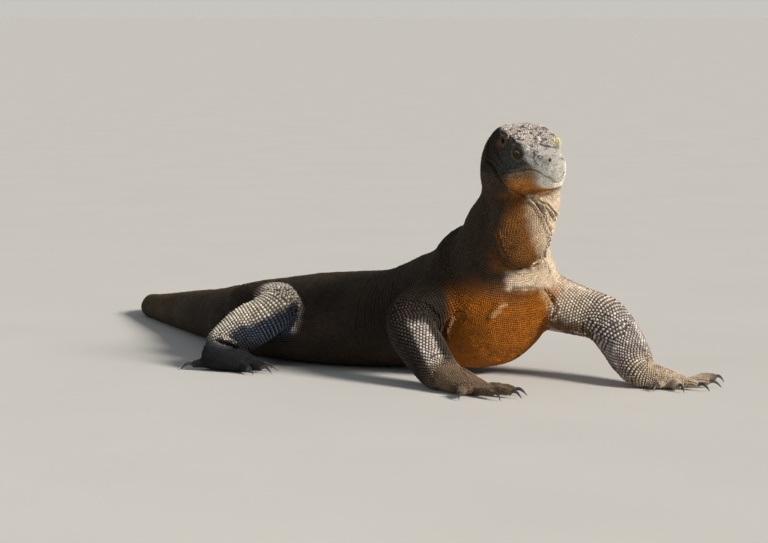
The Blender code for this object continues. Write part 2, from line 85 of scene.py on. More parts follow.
# Neck, trunk and tail, from inside the head to the tip of the tail: centre x, y, z,
# half width, height above the centre, depth below it, how far the top is drawn in.
SPINE = (
    (0.258, -0.556, 0.392, 0.046, 0.046, 0.048, 0.0),    # inside the skull
    (0.236, -0.510, 0.388, 0.067, 0.074, 0.058, 0.0),    # nape
    (0.241, -0.478, 0.350, 0.070, 0.079, 0.060, 0.0),    # throat
    (0.237, -0.452, 0.300, 0.068, 0.078, 0.066, 0.0),    # middle of the neck
    (0.214, -0.418, 0.248, 0.071, 0.084, 0.080, 0.0),
    (0.207, -0.376, 0.196, 0.106, 0.110, 0.116, 0.0),    # base of the neck
    (0.172, -0.327, 0.147, 0.119, 0.105, 0.138, 0.1),    # shoulders
    (0.105, -0.270, 0.108, 0.126, 0.105, 0.106, 0.2),    # chest
    (0.035, -0.222, 0.080, 0.136, 0.101, 0.081, 0.25),
    (-0.040, -0.178, 0.066, 0.146, 0.105, 0.070, 0.3),   # belly
    (-0.115, -0.132, 0.062, 0.142, 0.101, 0.066, 0.3),
    (-0.180, -0.088, 0.060, 0.122, 0.091, 0.063, 0.3),   # loin
    (-0.237, -0.030, 0.060, 0.096, 0.078, 0.062, 0.25),  # pelvis
    (-0.283, 0.055, 0.063, 0.070, 0.057, 0.065, 0.2),    # base of the tail
    (-0.324, 0.160, 0.054, 0.057, 0.049, 0.056, 0.3),
    (-0.378, 0.290, 0.045, 0.046, 0.042, 0.047, 0.4),
    (-0.432, 0.420, 0.035, 0.037, 0.034, 0.037, 0.4),
    (-0.476, 0.530, 0.0280, 0.030, 0.027, 0.030, 0.4),
    (-0.501, 0.602, 0.0240, 0.025, 0.0235, 0.026, 0.4),  # the tail turns back
    (-0.494, 0.660, 0.0210, 0.022, 0.0200, 0.0225, 0.4),
    (-0.448, 0.697, 0.0185, 0.0185, 0.0180, 0.0200, 0.4),
    (-0.375, 0.703, 0.0165, 0.0160, 0.0160, 0.0180, 0.4),
    (-0.270, 0.684, 0.0135, 0.0125, 0.0135, 0.0150, 0.3),
    (-0.160, 0.652, 0.0110, 0.0095, 0.0105, 0.0120, 0.2),
    (-0.060, 0.625, 0.0080, 0.0065, 0.0075, 0.0085, 0.1),
    (0.035, 0.612, 0.0050, 0.0040, 0.0045, 0.0055, 0.0),
)

# The head's own frame: x back from the front of the mouth, y to the left, z up.
SNOUT = Vector((0.2950, -0.650, 0.364))
HEAD_TURN, HEAD_PITCH, HEAD_ROLL = 23.0, -13.0, 3.0
# Rows: distance behind the snout, half width, top, bottom, how far the top is drawn in.
SKULL = (
    (0.000, 0.0095, 0.030, 0.004, 0.0),
    (0.006, 0.0155, 0.037, 0.000, 0.0),
    (0.018, 0.0205, 0.0410, -0.002, 0.0),
    (0.035, 0.0255, 0.0430, -0.002, 0.05),
    (0.060, 0.0325, 0.0475, 0.000, 0.1),
    (0.090, 0.0400, 0.0560, -0.002, 0.08),
    (0.110, 0.0455, 0.0604, -0.007, 0.05),
    (0.130, 0.0500, 0.0620, -0.013, 0.06),
    (0.150, 0.0525, 0.0622, -0.018, 0.10),
    (0.180, 0.0515, 0.0575, -0.022, 0.16),
    (0.202, 0.0460, 0.0420, -0.024, 0.2),
    (0.222, 0.0370, 0.0220, -0.022, 0.2),
    (0.240, 0.0250, -0.002, -0.016, 0.0),
)
JAW = (
    (0.004, 0.0090, 0.012, -0.008, 0.0),
    (0.014, 0.0165, 0.014, -0.0125, 0.0),
    (0.030, 0.0230, 0.018, -0.018, 0.0),
    (0.060, 0.0310, 0.018, -0.028, 0.0),
    (0.090, 0.0400, 0.014, -0.036, 0.0),
    (0.120, 0.0490, 0.006, -0.044, 0.0),
    (0.150, 0.0550, -0.002, -0.053, 0.0),
    (0.180, 0.0530, -0.008, -0.059, 0.0),
    (0.205, 0.0420, -0.014, -0.055, 0.0),
    (0.225, 0.0300, -0.020, -0.046, 0.0),
)
# Rounded masses on each side of the head: place, then half sizes along, across and up.
HEAD_MASSES = (
    ((0.105, 0.0298, 0.0432), (0.041, 0.0117, 0.0142)),   # ridge over the eye
    ((0.156, 0.0390, 0.0080), (0.044, 0.0175, 0.0350)),   # jaw muscle
)
EYE_PLACE = (0.090, 0.0325, 0.0310)

GULAR_POUCH = ((0.238, -0.500, 0.285), (0.056, 0.046, 0.078))   # place, half sizes

# Limbs: x, y, z, half width, half height; from inside the trunk to the wrist or ankle.
LIMBS = {
    "arm_R": (
        (0.170, -0.340, 0.160, 0.060, 0.060),
        (0.130, -0.378, 0.152, 0.054, 0.055),
        (0.086, -0.412, 0.132, 0.047, 0.047),
        (0.044, -0.438, 0.108, 0.041, 0.041),
        (0.053, -0.468, 0.084, 0.040, 0.041),
        (0.072, -0.500, 0.059, 0.039, 0.039),
        (0.094, -0.536, 0.032, 0.036, 0.034),
        (0.114, -0.570, 0.019, 0.034, 0.024),
    ),
    "arm_L": (
        (0.262, -0.350, 0.146, 0.058, 0.058),
        (0.310, -0.376, 0.131, 0.050, 0.050),
        (0.350, -0.402, 0.120, 0.044, 0.044),
        (0.388, -0.424, 0.110, 0.041, 0.041),
        (0.418, -0.452, 0.075, 0.039, 0.040),
        (0.436, -0.490, 0.044, 0.036, 0.035),
        (0.450, -0.522, 0.026, 0.033, 0.026),
        (0.474, -0.536, 0.017, 0.032, 0.018),
    ),
    "leg_R": (
        (-0.248, -0.060, 0.078, 0.055, 0.055),
        (-0.248, -0.120, 0.092, 0.050, 0.051),
        (-0.222, -0.200, 0.110, 0.042, 0.041),
        (-0.191, -0.248, 0.117, 0.036, 0.036),
        (-0.214, -0.266, 0.098, 0.039, 0.038),
        (-0.254, -0.274, 0.074, 0.041, 0.041),
        (-0.292, -0.280, 0.049, 0.033, 0.033),
        (-0.314, -0.284, 0.032, 0.027, 0.027),
    ),
    "leg_L": (
        (-0.215, -0.005, 0.078, 0.055, 0.055),
        (-0.165, 0.036, 0.088, 0.050, 0.049),
        (-0.104, 0.064, 0.098, 0.043, 0.041),
        (-0.052, 0.072, 0.102, 0.036, 0.034),
        (-0.056, 0.102, 0.084, 0.039, 0.037),
        (-0.078, 0.138, 0.064, 0.040, 0.038),
        (-0.098, 0.174, 0.042, 0.032, 0.031),
        (-0.104, 0.196, 0.030, 0.027, 0.026),
    ),
}

# Hands and feet: wrist or ankle, middle of the palm, then each digit's claw tip on the floor.
PAWS = {
    "hand_R": {
        "palm": ((0.110, -0.566, 0.023), (0.150, -0.612, 0.015)),
        "half_width": 0.031,
        "tips": ((0.126, -0.692), (0.196, -0.698), (0.233, -0.674), (0.244, -0.638), (0.228, -0.606)),
    },
    "hand_L": {
        "palm": ((0.462, -0.532, 0.021), (0.506, -0.534, 0.014)),
        "half_width": 0.031,
        "tips": ((0.464, -0.588), (0.516, -0.600), (0.562, -0.582), (0.588, -0.536), (0.602, -0.460)),
    },
    "foot_R": {
        "palm": ((-0.312, -0.284, 0.028), (-0.264, -0.314, 0.019)),
        "half_width": 0.032,
        "tips": ((-0.206, -0.280), (-0.194, -0.318), (-0.204, -0.352), (-0.236, -0.374), (-0.372, -0.294)),
    },
    "foot_L": {
        "palm": ((-0.104, 0.196, 0.026), (-0.062, 0.226, 0.018)),
        "half_width": 0.032,
        "tips": ((-0.012, 0.180), (0.016, 0.212), (0.020, 0.254), (-0.002, 0.292), (-0.142, 0.262)),
    },
}
DIGIT_RADIUS = 0.0077
KNUCKLE_HEIGHT = 0.017
CLAW_LENGTH = 0.026
CLAW_RADIUS = 0.0038

FLESH = (
    "head", "neck", "chest", "belly", "tail_base", "tail_middle", "tail_bend", "tail_tip",
    "upper_arm_R", "forearm_R", "hand_R", "upper_arm_L", "forearm_L", "hand_L",
    "thigh_R", "shank_R", "foot_R", "thigh_L", "shank_L", "foot_L",
)

# ---------------------------------------------------------------- small tools


def smooth_rows(rows, step=RING_STEP):
    """Rows read at an even distance from a cubic that passes through the given ones."""
    table = np.array(rows, float)
    span = np.linalg.norm(np.diff(table[:, :3], axis=0), axis=1)
    at = np.concatenate([[0.0], np.cumsum(span)])
    slope = np.gradient(table, at, axis=0)
    wanted = np.linspace(0.0, at[-1], max(3, math.ceil(at[-1] / step) + 1))
    before = np.clip(np.searchsorted(at, wanted, side="right") - 1, 0, len(at) - 2)
    gap = span[before]
    u = ((wanted - at[before]) / gap)[:, None]
    gap = gap[:, None]
    return (
        (2 * u**3 - 3 * u**2 + 1) * table[before]
        + (u**3 - 2 * u**2 + u) * gap * slope[before]
        + (3 * u**2 - 2 * u**3) * table[before + 1]
        + (u**3 - u**2) * gap * slope[before + 1]
    )


def rounded(value, exponent):
    return math.copysign(abs(value) ** (2 / exponent), value)


def ring(centre, side, up, half_width, top, bottom, sides, exponent=2.0, drawn_in=0.0):
    """One closed outline, `drawn_in` narrowing it towards its top."""
    points = []
    for k in range(sides):
        angle = math.tau * k / sides
        across, high = rounded(math.cos(angle), exponent), rounded(math.sin(angle), exponent)
        width = half_width * (1 - drawn_in * max(0.0, high))
        height = (top if high > 0 else bottom) * high
        points.append(centre + side * (across * width) + up * height)
    return points


def add_loft(bm, rings):
    """A closed skin over the rings, added to bm."""
    loops = [[bm.verts.new(p) for p in points] for points in rings]
    for one, two in zip(loops, loops[1:]):
        for k in range(len(one)):
            j = (k + 1) % len(one)
            bm.faces.new((one[k], one[j], two[j], two[k]))
    for loop, inward in ((loops[0], 1), (loops[-1], -1)):
        middle = bm.verts.new(sum((v.co for v in loop), Vector()) / len(loop))
        for k in range(len(loop)):
            pair = (loop[k], loop[(k + 1) % len(loop)])
            bm.faces.new((middle, *pair[::-inward]))


def tangents(centres):
    """Unit directions from each centre towards the start of the row."""
    ahead = [centres[0]] + centres[:-1]
    behind = centres[1:] + [centres[-1]]
    return [(a - b).normalized() for a, b in zip(ahead, behind)]


def spine_rings(sides=28):
    table = smooth_rows(SPINE)
    centres = [Vector(row[:3]) for row in table]
    rings = []
    for row, centre, ahead in zip(table, centres, tangents(centres)):
        side = UP.cross(ahead).normalized()
        rings.append(ring(centre, side, ahead.cross(side), *row[3:6], sides, 2.35, row[6]))
    return rings


def limb_rings(rows, sides=20):
    table = smooth_rows(rows)
    centres = [Vector(row[:3]) for row in table]
    side = None
    rings = []
    for row, centre, ahead in zip(table, centres, tangents(centres)):
        level = UP.cross(ahead)
        if side is None or level.length > 0.3:
            level.normalize()
            side = level if side is None or side.dot(level) > 0 else -level
        side = (side - ahead * side.dot(ahead)).normalized()
        wide, high = row[3:5]
        rings.append(ring(centre, side, ahead.cross(side), wide, high, high, sides, 2.15))
    return rings


def add_ellipsoid(bm, matrix, half_sizes):
    scale = Matrix.Diagonal((*half_sizes, 1))
    bmesh.ops.create_uvsphere(bm, u_segments=20, v_segments=12, radius=1, matrix=matrix @ scale)


def object_of(name, bm):
    bmesh.ops.recalc_face_normals(bm, faces=bm.faces)
    mesh = bpy.data.meshes.new(name)
    bm.to_mesh(mesh)
    bm.free()
    obj = bpy.data.objects.new(name, mesh)
    bpy.context.scene.collection.objects.link(obj)
    return obj


def fuse(obj, voxel, smoothing):
    """Makes one skin of overlapping lofts and eases the creases between them."""
    remesh = obj.modifiers.new("Fuse", "REMESH")
    remesh.mode = "VOXEL"
    remesh.voxel_size = voxel
    ease = obj.modifiers.new("Ease", "SMOOTH")
    ease.factor = 0.5
    ease.iterations = smoothing
    graph = bpy.context.evaluated_depsgraph_get()
    made = bpy.data.meshes.new_from_object(obj.evaluated_get(graph))
    obj.modifiers.clear()
    obj.data = made


# ---------------------------------------------------------------- shape of the body


def head_matrix():
    """From the head's own frame to the model's."""
    turn, pitch = math.radians(HEAD_TURN), math.radians(HEAD_PITCH)
    forward = Vector(
        (math.sin(turn) * math.cos(pitch), -math.cos(turn) * math.cos(pitch), math.sin(pitch))
    )
    left = UP.cross(forward).normalized()
    left.rotate(Matrix.Rotation(math.radians(HEAD_ROLL), 3, forward))
    up = forward.cross(left)
    matrix = Matrix((-forward, left, up)).transposed().to_4x4()
    matrix.translation = SNOUT
    return matrix


HEAD = head_matrix()


def add_head_loft(bm, rows, exponent):
    side = HEAD.to_3x3() @ Vector((0, 1, 0))
    up = HEAD.to_3x3() @ UP
    table = smooth_rows([(row[0], 0, 0, *row[1:]) for row in rows], 0.008)
    rings = []
    for back, _, _, half_width, top, bottom, drawn_in in table:
        centre = HEAD @ Vector((back, 0, (top + bottom) / 2))
        high = (top - bottom) / 2
        rings.append(ring(centre, side, up, half_width, high, high, 24, exponent, drawn_in))
    add_loft(bm, rings)


def add_head(bm):
    add_head_loft(bm, SKULL, 3.3)
    add_head_loft(bm, JAW, 2.3)
    for place, half_sizes in HEAD_MASSES:
        for hand in (1, -1):
            centre = Vector((place[0], hand * place[1], place[2]))
            add_ellipsoid(bm, HEAD @ Matrix.Translation(centre), half_sizes)


def eye_centre(hand):
    back, across, high = EYE_PLACE
    return HEAD @ Vector((back, hand * across, high))


def digit_rows(paw, tip):
    """Centre line of a digit, from inside the palm over the knuckle to the claw's root."""
    wrist, palm = (Vector(p) for p in paw["palm"])
    end = Vector((*tip, 0))
    root = wrist.lerp(palm, 0.75)
    away = Vector((end.x - root.x, end.y - root.y, 0))
    reach = away.length
    away.normalize()
    along = reach - CLAW_LENGTH * 0.8
    flat_root = Vector((root.x, root.y, 0))
    heights = ((0.25, 0.009), (0.55, 0.010), (0.80, KNUCKLE_HEIGHT - 0.004), (1.0, 0.0095))
    rows = [(*root, DIGIT_RADIUS, DIGIT_RADIUS)]
    for share, height in heights:
        swell = 1.0 if share in (0.25, 0.55) else (1.08 if share < 1 else 0.85)
        place = flat_root + away * (along * share)
        rows.append((place.x, place.y, height, DIGIT_RADIUS * swell, DIGIT_RADIUS * swell))
    return rows


def palm_rows(paw):
    wrist, palm = (Vector(p) for p in paw["palm"])
    along = (palm - wrist).normalized()
    wide = paw["half_width"]
    return (
        (*(wrist - along * 0.012), wide * 0.80, wrist.z * 0.9),
        (*wrist, wide * 0.95, wrist.z),
        (*palm, wide, palm.z),
        (*(palm + along * 0.020), wide * 0.85, palm.z * 0.8),
    )


def claw_rings(paw, tip, count, sides):
    """A curved, tapering claw from the end of its digit down to the floor."""
    rows = digit_rows(paw, tip)
    start = Vector(rows[-1][:3])
    away = (start - Vector(rows[-2][:3])) * Vector((1, 1, 0))
    away.normalize()
    side = away.cross(UP)
    start -= away * 0.003
    end = Vector((*tip, 0.0012))
    rings = []
    for step in range(count):
        share = step / (count - 1)
        centre = start.lerp(end, share) + UP * (0.0062 * math.sin(math.pi * share))
        lean = away.lerp(-UP, 0.15 + 0.6 * share).normalized()
        radius = CLAW_RADIUS * (1 - share) ** 0.75 + 0.0009 * (1 - 0.5 * share)
        high = side.cross(lean)
        rings.append(ring(centre, side, high, radius * 0.8, radius, radius, sides, 1.8))
    return rings


def whole_body():
    """The animal's flesh as one closed skin, a little of it below the floor."""
    bm = bmesh.new()
    add_loft(bm, spine_rings())
    for rows in LIMBS.values():
        add_loft(bm, limb_rings(rows))
    place, half_sizes = GULAR_POUCH
    turn = Matrix.Rotation(math.radians(HEAD_TURN), 4, "Z")
    add_ellipsoid(bm, Matrix.Translation(place) @ turn, half_sizes)
    body = object_of("flesh", bm)
    fuse(body, FLESH_VOXEL, 9)

    bm = bmesh.new()
    bm.from_mesh(body.data)
    add_head(bm)
    for paw in PAWS.values():
        add_loft(bm, limb_rings(palm_rows(paw)))
        for tip in paw["tips"]:
            add_loft(bm, limb_rings(digit_rows(paw, tip), 12))
    bpy.data.objects.remove(body)
    body = object_of("hide", bm)
    fuse(body, SKIN_VOXEL, 4)
    return body


# ---------------------------------------------------------------- working the skin


def coordinates(mesh):
    co = np.empty(len(mesh.vertices) * 3)
    mesh.vertices.foreach_get("co", co)
    return co.reshape(-1, 3)


def normals(mesh):
    no = np.empty(len(mesh.vertices) * 3)
    mesh.vertices.foreach_get("normal", no)
    return no.reshape(-1, 3)


def set_coordinates(mesh, co):
    mesh.vertices.foreach_set("co", co.ravel())
    mesh.update()


def ramp(value, low, high):
    """0 below low, 1 above high, smooth between; low may be the larger."""
    t = np.clip((value - low) / (high - low), 0, 1)
    return t * t * (3 - 2 * t)


def grain(points, size, seed):
    """Smooth noise from -1 to 1 that changes over `size` metres."""
    p = points / size + seed * 17.13
    cell = np.floor(p).astype(np.int64)
    part = p - cell
    part = part * part * (3 - 2 * part)
    total = np.zeros(len(points))
    for corner in itertools.product((0, 1), repeat=3):
        x, y, z = (cell + corner).T
        key = (x * 73856093) ^ (y * 19349663) ^ (z * 83492791) ^ (seed * 265443)
        key = (key ^ (key >> 13)) * 1274126177
        value = ((key ^ (key >> 16)) & 0xFFFF) / 32767.5 - 1
        total += value * np.prod(np.where(corner, part, 1 - part), axis=1)
    return total


def turned(points, matrix):
    """The points carried by a 4 x 4 matrix."""
    m = np.array(matrix)
    return points @ m[:3, :3].T + m[:3, 3]


def subdivide_where(obj, test):
    """Halves the grid where test(points) holds, and eases it there."""
    chosen = test(coordinates(obj.data))
    bm = bmesh.new()
    bm.from_mesh(obj.data)
    bm.verts.ensure_lookup_table()
    edges = [e for e in bm.edges if chosen[e.verts[0].index] and chosen[e.verts[1].index]]
    bmesh.ops.subdivide_edges(bm, edges=edges, cuts=1, use_grid_fill=True)
    points = np.array([v.co for v in bm.verts])
    chosen = test(points)
    near = [v for v, c in zip(bm.verts, chosen) if c]
    for _ in range(2):
        bmesh.ops.smooth_vert(bm, verts=near, factor=0.5, use_axis_x=True, use_axis_y=True, use_axis_z=True)
    bm.to_mesh(obj.data)
    bm.free()


def near_path(points, path, reach):
    """Which points lie within reach of the path, how far off, and their share along it."""
    path = np.array(path)
    low, high = path.min(0) - reach, path.max(0) + reach
    index = np.nonzero(((points > low) & (points < high)).all(1))[0]
    p = points[index]
    best = np.full(len(p), 9.0)
    share = np.zeros(len(p))
    lengths = np.linalg.norm(np.diff(path, axis=0), axis=1)
    total = lengths.sum()
    done = 0.0
    for a, b, length in zip(path, path[1:], lengths):
        along = np.clip(((p - a) @ (b - a)) / length**2, 0, 1)
        off = np.linalg.norm(p - (a + along[:, None] * (b - a)), axis=1)
        closer = off < best
        best[closer] = off[closer]
        share[closer] = (done + along[closer] * length) / total
        done += length
    kept = best < reach
    return index[kept], best[kept], share[kept]


def on_skin(tree, path, step=0.006):
    """The path read at even steps and laid on the skin."""
    table = smooth_rows([(*p, 0) for p in path], step)[:, :3]
    return np.array([tree.find_nearest(Vector(p))[0] for p in table])


# Creases in the skin: which frame, whether both sides have it, width, depth, the height of
# the swelling beside it, how far each end fades (as a share), then the points. A negative
# depth makes a raised ridge. Most of the points in MOUTH, CREASES and PITS were measured on the
# body by separate scripts and pasted in, so they don't follow the sizes above.
MOUTH = (
    (0.1209, -0.0529, -0.0131), (0.1093, -0.0471, -0.0093), (0.0965, -0.0401, -0.0043),
    (0.0808, -0.0346, 0.0016), (0.0648, -0.0312, 0.0081), (0.0501, -0.0290, 0.0132),
    (0.0373, -0.0258, 0.0144), (0.0249, -0.0223, 0.0133), (0.0156, -0.0190, 0.0104),
    (0.0074, -0.0154, 0.0099), (0.0040, -0.0112, 0.0062), (0.0031, -0.0058, 0.0016),
)
WHOLE_MOUTH = MOUTH + tuple((x, -y, z) for x, y, z in MOUTH[::-1])
CREASES = {
    "mouth": ("head", False, 0.0014, 0.0040, 0.0010, 0.04, WHOLE_MOUTH),
    "lip": ("head", True, 0.0011, 0.0016, 0.0004, 0.2,
            ((0.0400, -0.0262, 0.0098), (0.0278, -0.0223, 0.0071), (0.0162, -0.0185, 0.0067),
             (0.0071, -0.0133, 0.0045), (0.0037, -0.0034, -0.0014))),
    "brow": ("head", True, 0.0042, -0.0026, 0.0, 0.2,
             ((0.1750, -0.0330, 0.0570), (0.1450, -0.0380, 0.0570), (0.1124, -0.0362, 0.0542),
              (0.0850, -0.0350, 0.0500), (0.0641, -0.0290, 0.0460), (0.0450, -0.0225, 0.0420),
              (0.0300, -0.0170, 0.0405))),
    "over_eye": ("head", True, 0.0018, 0.0014, 0.0004, 0.2,
                 ((0.1180, -0.0430, 0.0400), (0.1050, -0.0415, 0.0440), (0.0880, -0.0395, 0.0455),
                  (0.0740, -0.0365, 0.0425), (0.0640, -0.0330, 0.0360))),
    "under_eye": ("head", True, 0.0022, 0.0018, 0.0006, 0.2,
                  ((0.0680, -0.0350, 0.0250), (0.0830, -0.0390, 0.0170), (0.1000, -0.0430, 0.0180),
                   (0.1150, -0.0460, 0.0260))),
    "cheek": ("head", True, 0.0026, 0.0020, 0.0008, 0.25,
              ((0.1400, -0.0530, 0.0260), (0.1250, -0.0500, 0.0120), (0.1050, -0.0450, 0.0040))),
    "temple": ("head", True, 0.0030, 0.0026, 0.0010, 0.25,
               ((0.1850, -0.0500, 0.0400), (0.1680, -0.0530, 0.0250), (0.1560, -0.0560, 0.0080),
                (0.1600, -0.0600, -0.0100))),
    "jaw": ("head", True, 0.0027, 0.0055, 0.0024, 0.15,
            ((0.1622, -0.0612, -0.0027), (0.1443, -0.0599, -0.0004), (0.1323, -0.0575, -0.0061),
             (0.1270, -0.0557, -0.0137), (0.1218, -0.0518, -0.0233), (0.1164, -0.0443, -0.0331),
             (0.1149, -0.0390, -0.0385))),
    "chin": ("head", False, 0.0025, 0.005, 0.002, 0.15,
             ((0.1149, -0.0390, -0.0385), (0.1107, -0.0252, -0.0455), (0.1108, -0.0113, -0.0539),
              (0.1091, -0.0022, -0.0595), (0.1045, 0.0067, -0.0535), (0.0999, 0.0193, -0.0459),
              (0.1020, 0.0337, -0.0440), (0.1116, 0.0537, -0.0448))),
    "chin_1": ("head", False, 0.0018, 0.0026, 0.0006, 0.2,
               ((0.1139, -0.0255, -0.0483), (0.1001, -0.0230, -0.0390), (0.0724, -0.0275, -0.0233),
                (0.0577, -0.0274, -0.0154))),
    "chin_2": ("head", False, 0.0018, 0.0026, 0.0006, 0.2,
               ((0.0577, -0.0274, -0.0154), (0.0639, -0.0201, -0.0249), (0.1021, -0.0044, -0.0465),
                (0.1115, -0.0087, -0.0597))),
    "neck_side": ("body", False, 0.0034, 0.0038, 0.0024, 0.15,
                  ((0.1730, -0.4895, 0.3393), (0.1749, -0.4887, 0.3200), (0.1799, -0.4953, 0.3030),
                   (0.1833, -0.4997, 0.2875), (0.1873, -0.5118, 0.2640), (0.1950, -0.4957, 0.2346),
                   (0.2048, -0.4933, 0.2203))),
    "pouch_under": ("body", False, 0.0036, 0.0060, 0.0034, 0.15,
                    ((0.1950, -0.4957, 0.2346), (0.2048, -0.4933, 0.2203), (0.2155, -0.4904, 0.2113),
                     (0.2298, -0.4846, 0.2063), (0.2516, -0.4711, 0.2033), (0.2643, -0.4628, 0.2069))),
    "pouch_side": ("body", False, 0.0030, 0.0026, 0.0016, 0.2,
                   ((0.1893, -0.5246, 0.2842), (0.1952, -0.5307, 0.2690), (0.2004, -0.5310, 0.2534),
                    (0.2067, -0.5275, 0.2374), (0.2174, -0.5226, 0.2230))),
    "collar": ("body", False, 0.0034, 0.0050, 0.0018, 0.2,
               ((0.2853, -0.4352, 0.2097), (0.2911, -0.4290, 0.2002), (0.2968, -0.4238, 0.1872))),
    "throat_1": ("body", False, 0.0026, 0.0040, 0.0062, 0.06,
                 ((0.2524, -0.5411, 0.3341), (0.2632, -0.5341, 0.3232), (0.2723, -0.5288, 0.3072),
                  (0.2815, -0.5212, 0.2857), (0.2877, -0.5073, 0.2698), (0.2860, -0.4900, 0.2550),
                  (0.2840, -0.4760, 0.2400), (0.2793, -0.4467, 0.2152), (0.2662, -0.4610, 0.2068))),
    "throat_2": ("body", False, 0.0022, 0.0034, 0.0050, 0.12,
                 ((0.2594, -0.5402, 0.3340), (0.2721, -0.5301, 0.3229), (0.2833, -0.5177, 0.3098),
                  (0.2914, -0.5017, 0.2912))),
    "throat_3": ("body", False, 0.0022, 0.0034, 0.0046, 0.12,
                 ((0.2702, -0.5336, 0.3284), (0.2850, -0.5184, 0.3169), (0.2948, -0.5014, 0.3034),
                  (0.3052, -0.4758, 0.2945))),
    "armpit_R": ("body", False, 0.0035, 0.0060, 0.0022, 0.25,
                 ((0.1170, -0.4437, 0.1144), (0.1102, -0.4341, 0.0972), (0.1070, -0.4184, 0.0810),
                  (0.1142, -0.4146, 0.0662))),
    "armpit_ring": ("body", False, 0.002, 0.0016, 0.0012, 0.15,
                    ((0.1206, -0.4408, 0.1105), (0.1258, -0.4447, 0.1216), (0.1363, -0.4499, 0.1266),
                     (0.1433, -0.4525, 0.1207), (0.1417, -0.4483, 0.1095), (0.1313, -0.4403, 0.1024))),
    "breast_R": ("body", False, 0.0050, -0.0040, 0.0, 0.25,
                 ((0.2150, -0.4693, 0.1456), (0.2045, -0.4680, 0.1366), (0.1940, -0.4659, 0.1257),
                  (0.1820, -0.4592, 0.1054))),
    "breast_L1": ("body", False, 0.0034, 0.0046, 0.0020, 0.2,
                  ((0.2814, -0.4465, 0.1663), (0.2930, -0.4309, 0.1540), (0.3005, -0.4259, 0.1410),
                   (0.3058, -0.4280, 0.1251))),
    "breast_L2": ("body", False, 0.0030, 0.0036, 0.0016, 0.2,
                  ((0.2978, -0.4164, 0.1023), (0.3042, -0.4263, 0.1178), (0.3110, -0.4300, 0.1325))),
    "elbow_R": ("body", False, 0.0030, 0.0030, 0.0014, 0.25,
                ((0.0618, -0.4624, 0.1413), (0.0777, -0.4624, 0.1360), (0.0901, -0.4598, 0.1233),
                 (0.1009, -0.4490, 0.1060))),
    "elbow_L": ("body", False, 0.0030, 0.0032, 0.0014, 0.25,
                ((0.4018, -0.4710, 0.1157), (0.3915, -0.4676, 0.1188), (0.3828, -0.4671, 0.1117),
                 (0.3777, -0.4658, 0.1009))),
    "band": ("body", False, 0.0040, 0.0040, 0.0026, 0.25,
             ((0.2217, -0.4732, 0.1655), (0.2395, -0.4701, 0.1661), (0.2574, -0.4637, 0.1663),
              (0.2702, -0.4562, 0.1673))),
}
CREASE_LINES = []    # (points on the skin, width, depth, swell) of each groove, filled as it is cut

# Pits on both sides of the head: centre, long axis, half length, half width, depth, rim.
PITS = (
    ((0.0162, 0.0122, 0.0388), (0.90, -0.25, 0.42), 0.0050, 0.0027, 0.0050, 0.0010),  # nostril
    ((0.1347, 0.0479, 0.0426), (0.75, 0.20, 0.60), 0.0068, 0.0036, 0.0065, 0.0012),   # ear
    ((0.1347, 0.0479, 0.0436), (0.85, 0.10, 0.45), 0.0200, 0.0105, 0.0026, 0.0010),   # round it
    ((0.1146, 0.0439, 0.0426), (0.60, 0.20, 0.75), 0.0060, 0.0040, 0.0020, 0.0004),
)

GAZE = Vector((-0.46, 0.88, 0.08)).normalized()
LID_OPEN = (math.sin(math.radians(38)), math.sin(math.radians(29)))   # along, up


def eye_frames():
    """Centre, gaze, along and up of each eye, in the model's frame."""
    for hand in (1, -1):
        gaze = Vector((GAZE.x, hand * GAZE.y, GAZE.z))
        along = Vector((1, 0, 0)) - gaze * gaze.x
        along.normalize()
        up = gaze.cross(along) * hand
        turn = HEAD.to_3x3()
        yield tuple(np.array(v) for v in (eye_centre(hand), turn @ gaze, turn @ along, turn @ up))


def skin_tree(mesh):
    return BVHTree.FromPolygons(
        [v.co for v in mesh.vertices], [p.vertices for p in mesh.polygons]
    )


def pit_frame(pit, hand, tree=None):
    """Centre of a pit, its two half axes as vectors, and which way it faces."""
    place, axis, half_long, half_wide = pit[:4]
    centre = HEAD @ Vector((place[0], hand * place[1], place[2]))
    if tree:
        centre, facing, _, _ = tree.find_nearest(centre)
    else:
        facing = HEAD.to_3x3() @ Vector((-0.5, hand * 0.6, 0.5)).normalized()
    along = HEAD.to_3x3() @ Vector((axis[0], hand * axis[1], axis[2]))
    along = (along - facing * along.dot(facing)).normalized()
    across = facing.cross(along)
    return tuple(np.array(v) for v in (centre, along / half_long, across / half_wide))


PIT_FRAMES = []      # (centre, along, across) of nostrils and ears, filled as they are cut


def far_from_pit(points, pit):
    """1 at the rim of the pit, 0 at its middle."""
    centre, along, across = pit
    off = points - centre
    depth_scale = 0.5 * (np.linalg.norm(along) + np.linalg.norm(across))
    beyond = np.linalg.norm(off, axis=1) * depth_scale * 0.30
    return np.maximum(np.hypot(off @ along, off @ across), beyond)


def paw_creases():
    """Grooves down the back of each hand and foot, between the digits."""
    for name, paw in PAWS.items():
        wrist = Vector(paw["palm"][0])
        rows = [smooth_rows(digit_rows(paw, tip)) for tip in paw["tips"]]
        for one, two in zip(rows, rows[1:]):
            share = int(len(one) * 0.30), int(len(two) * 0.30)
            fork = (Vector(one[share[0]][:3]) + Vector(two[share[1]][:3])) / 2
            start = wrist.lerp(fork, 0.30)
            path = [start.lerp(fork, t) + UP * 0.03 for t in (0, 0.33, 0.66, 1.0)]
            deep = 0.0022 if name.startswith("hand") else 0.0034
            yield "body", False, 0.0030, deep, 0.0012, 0.25, [tuple(p) for p in path]


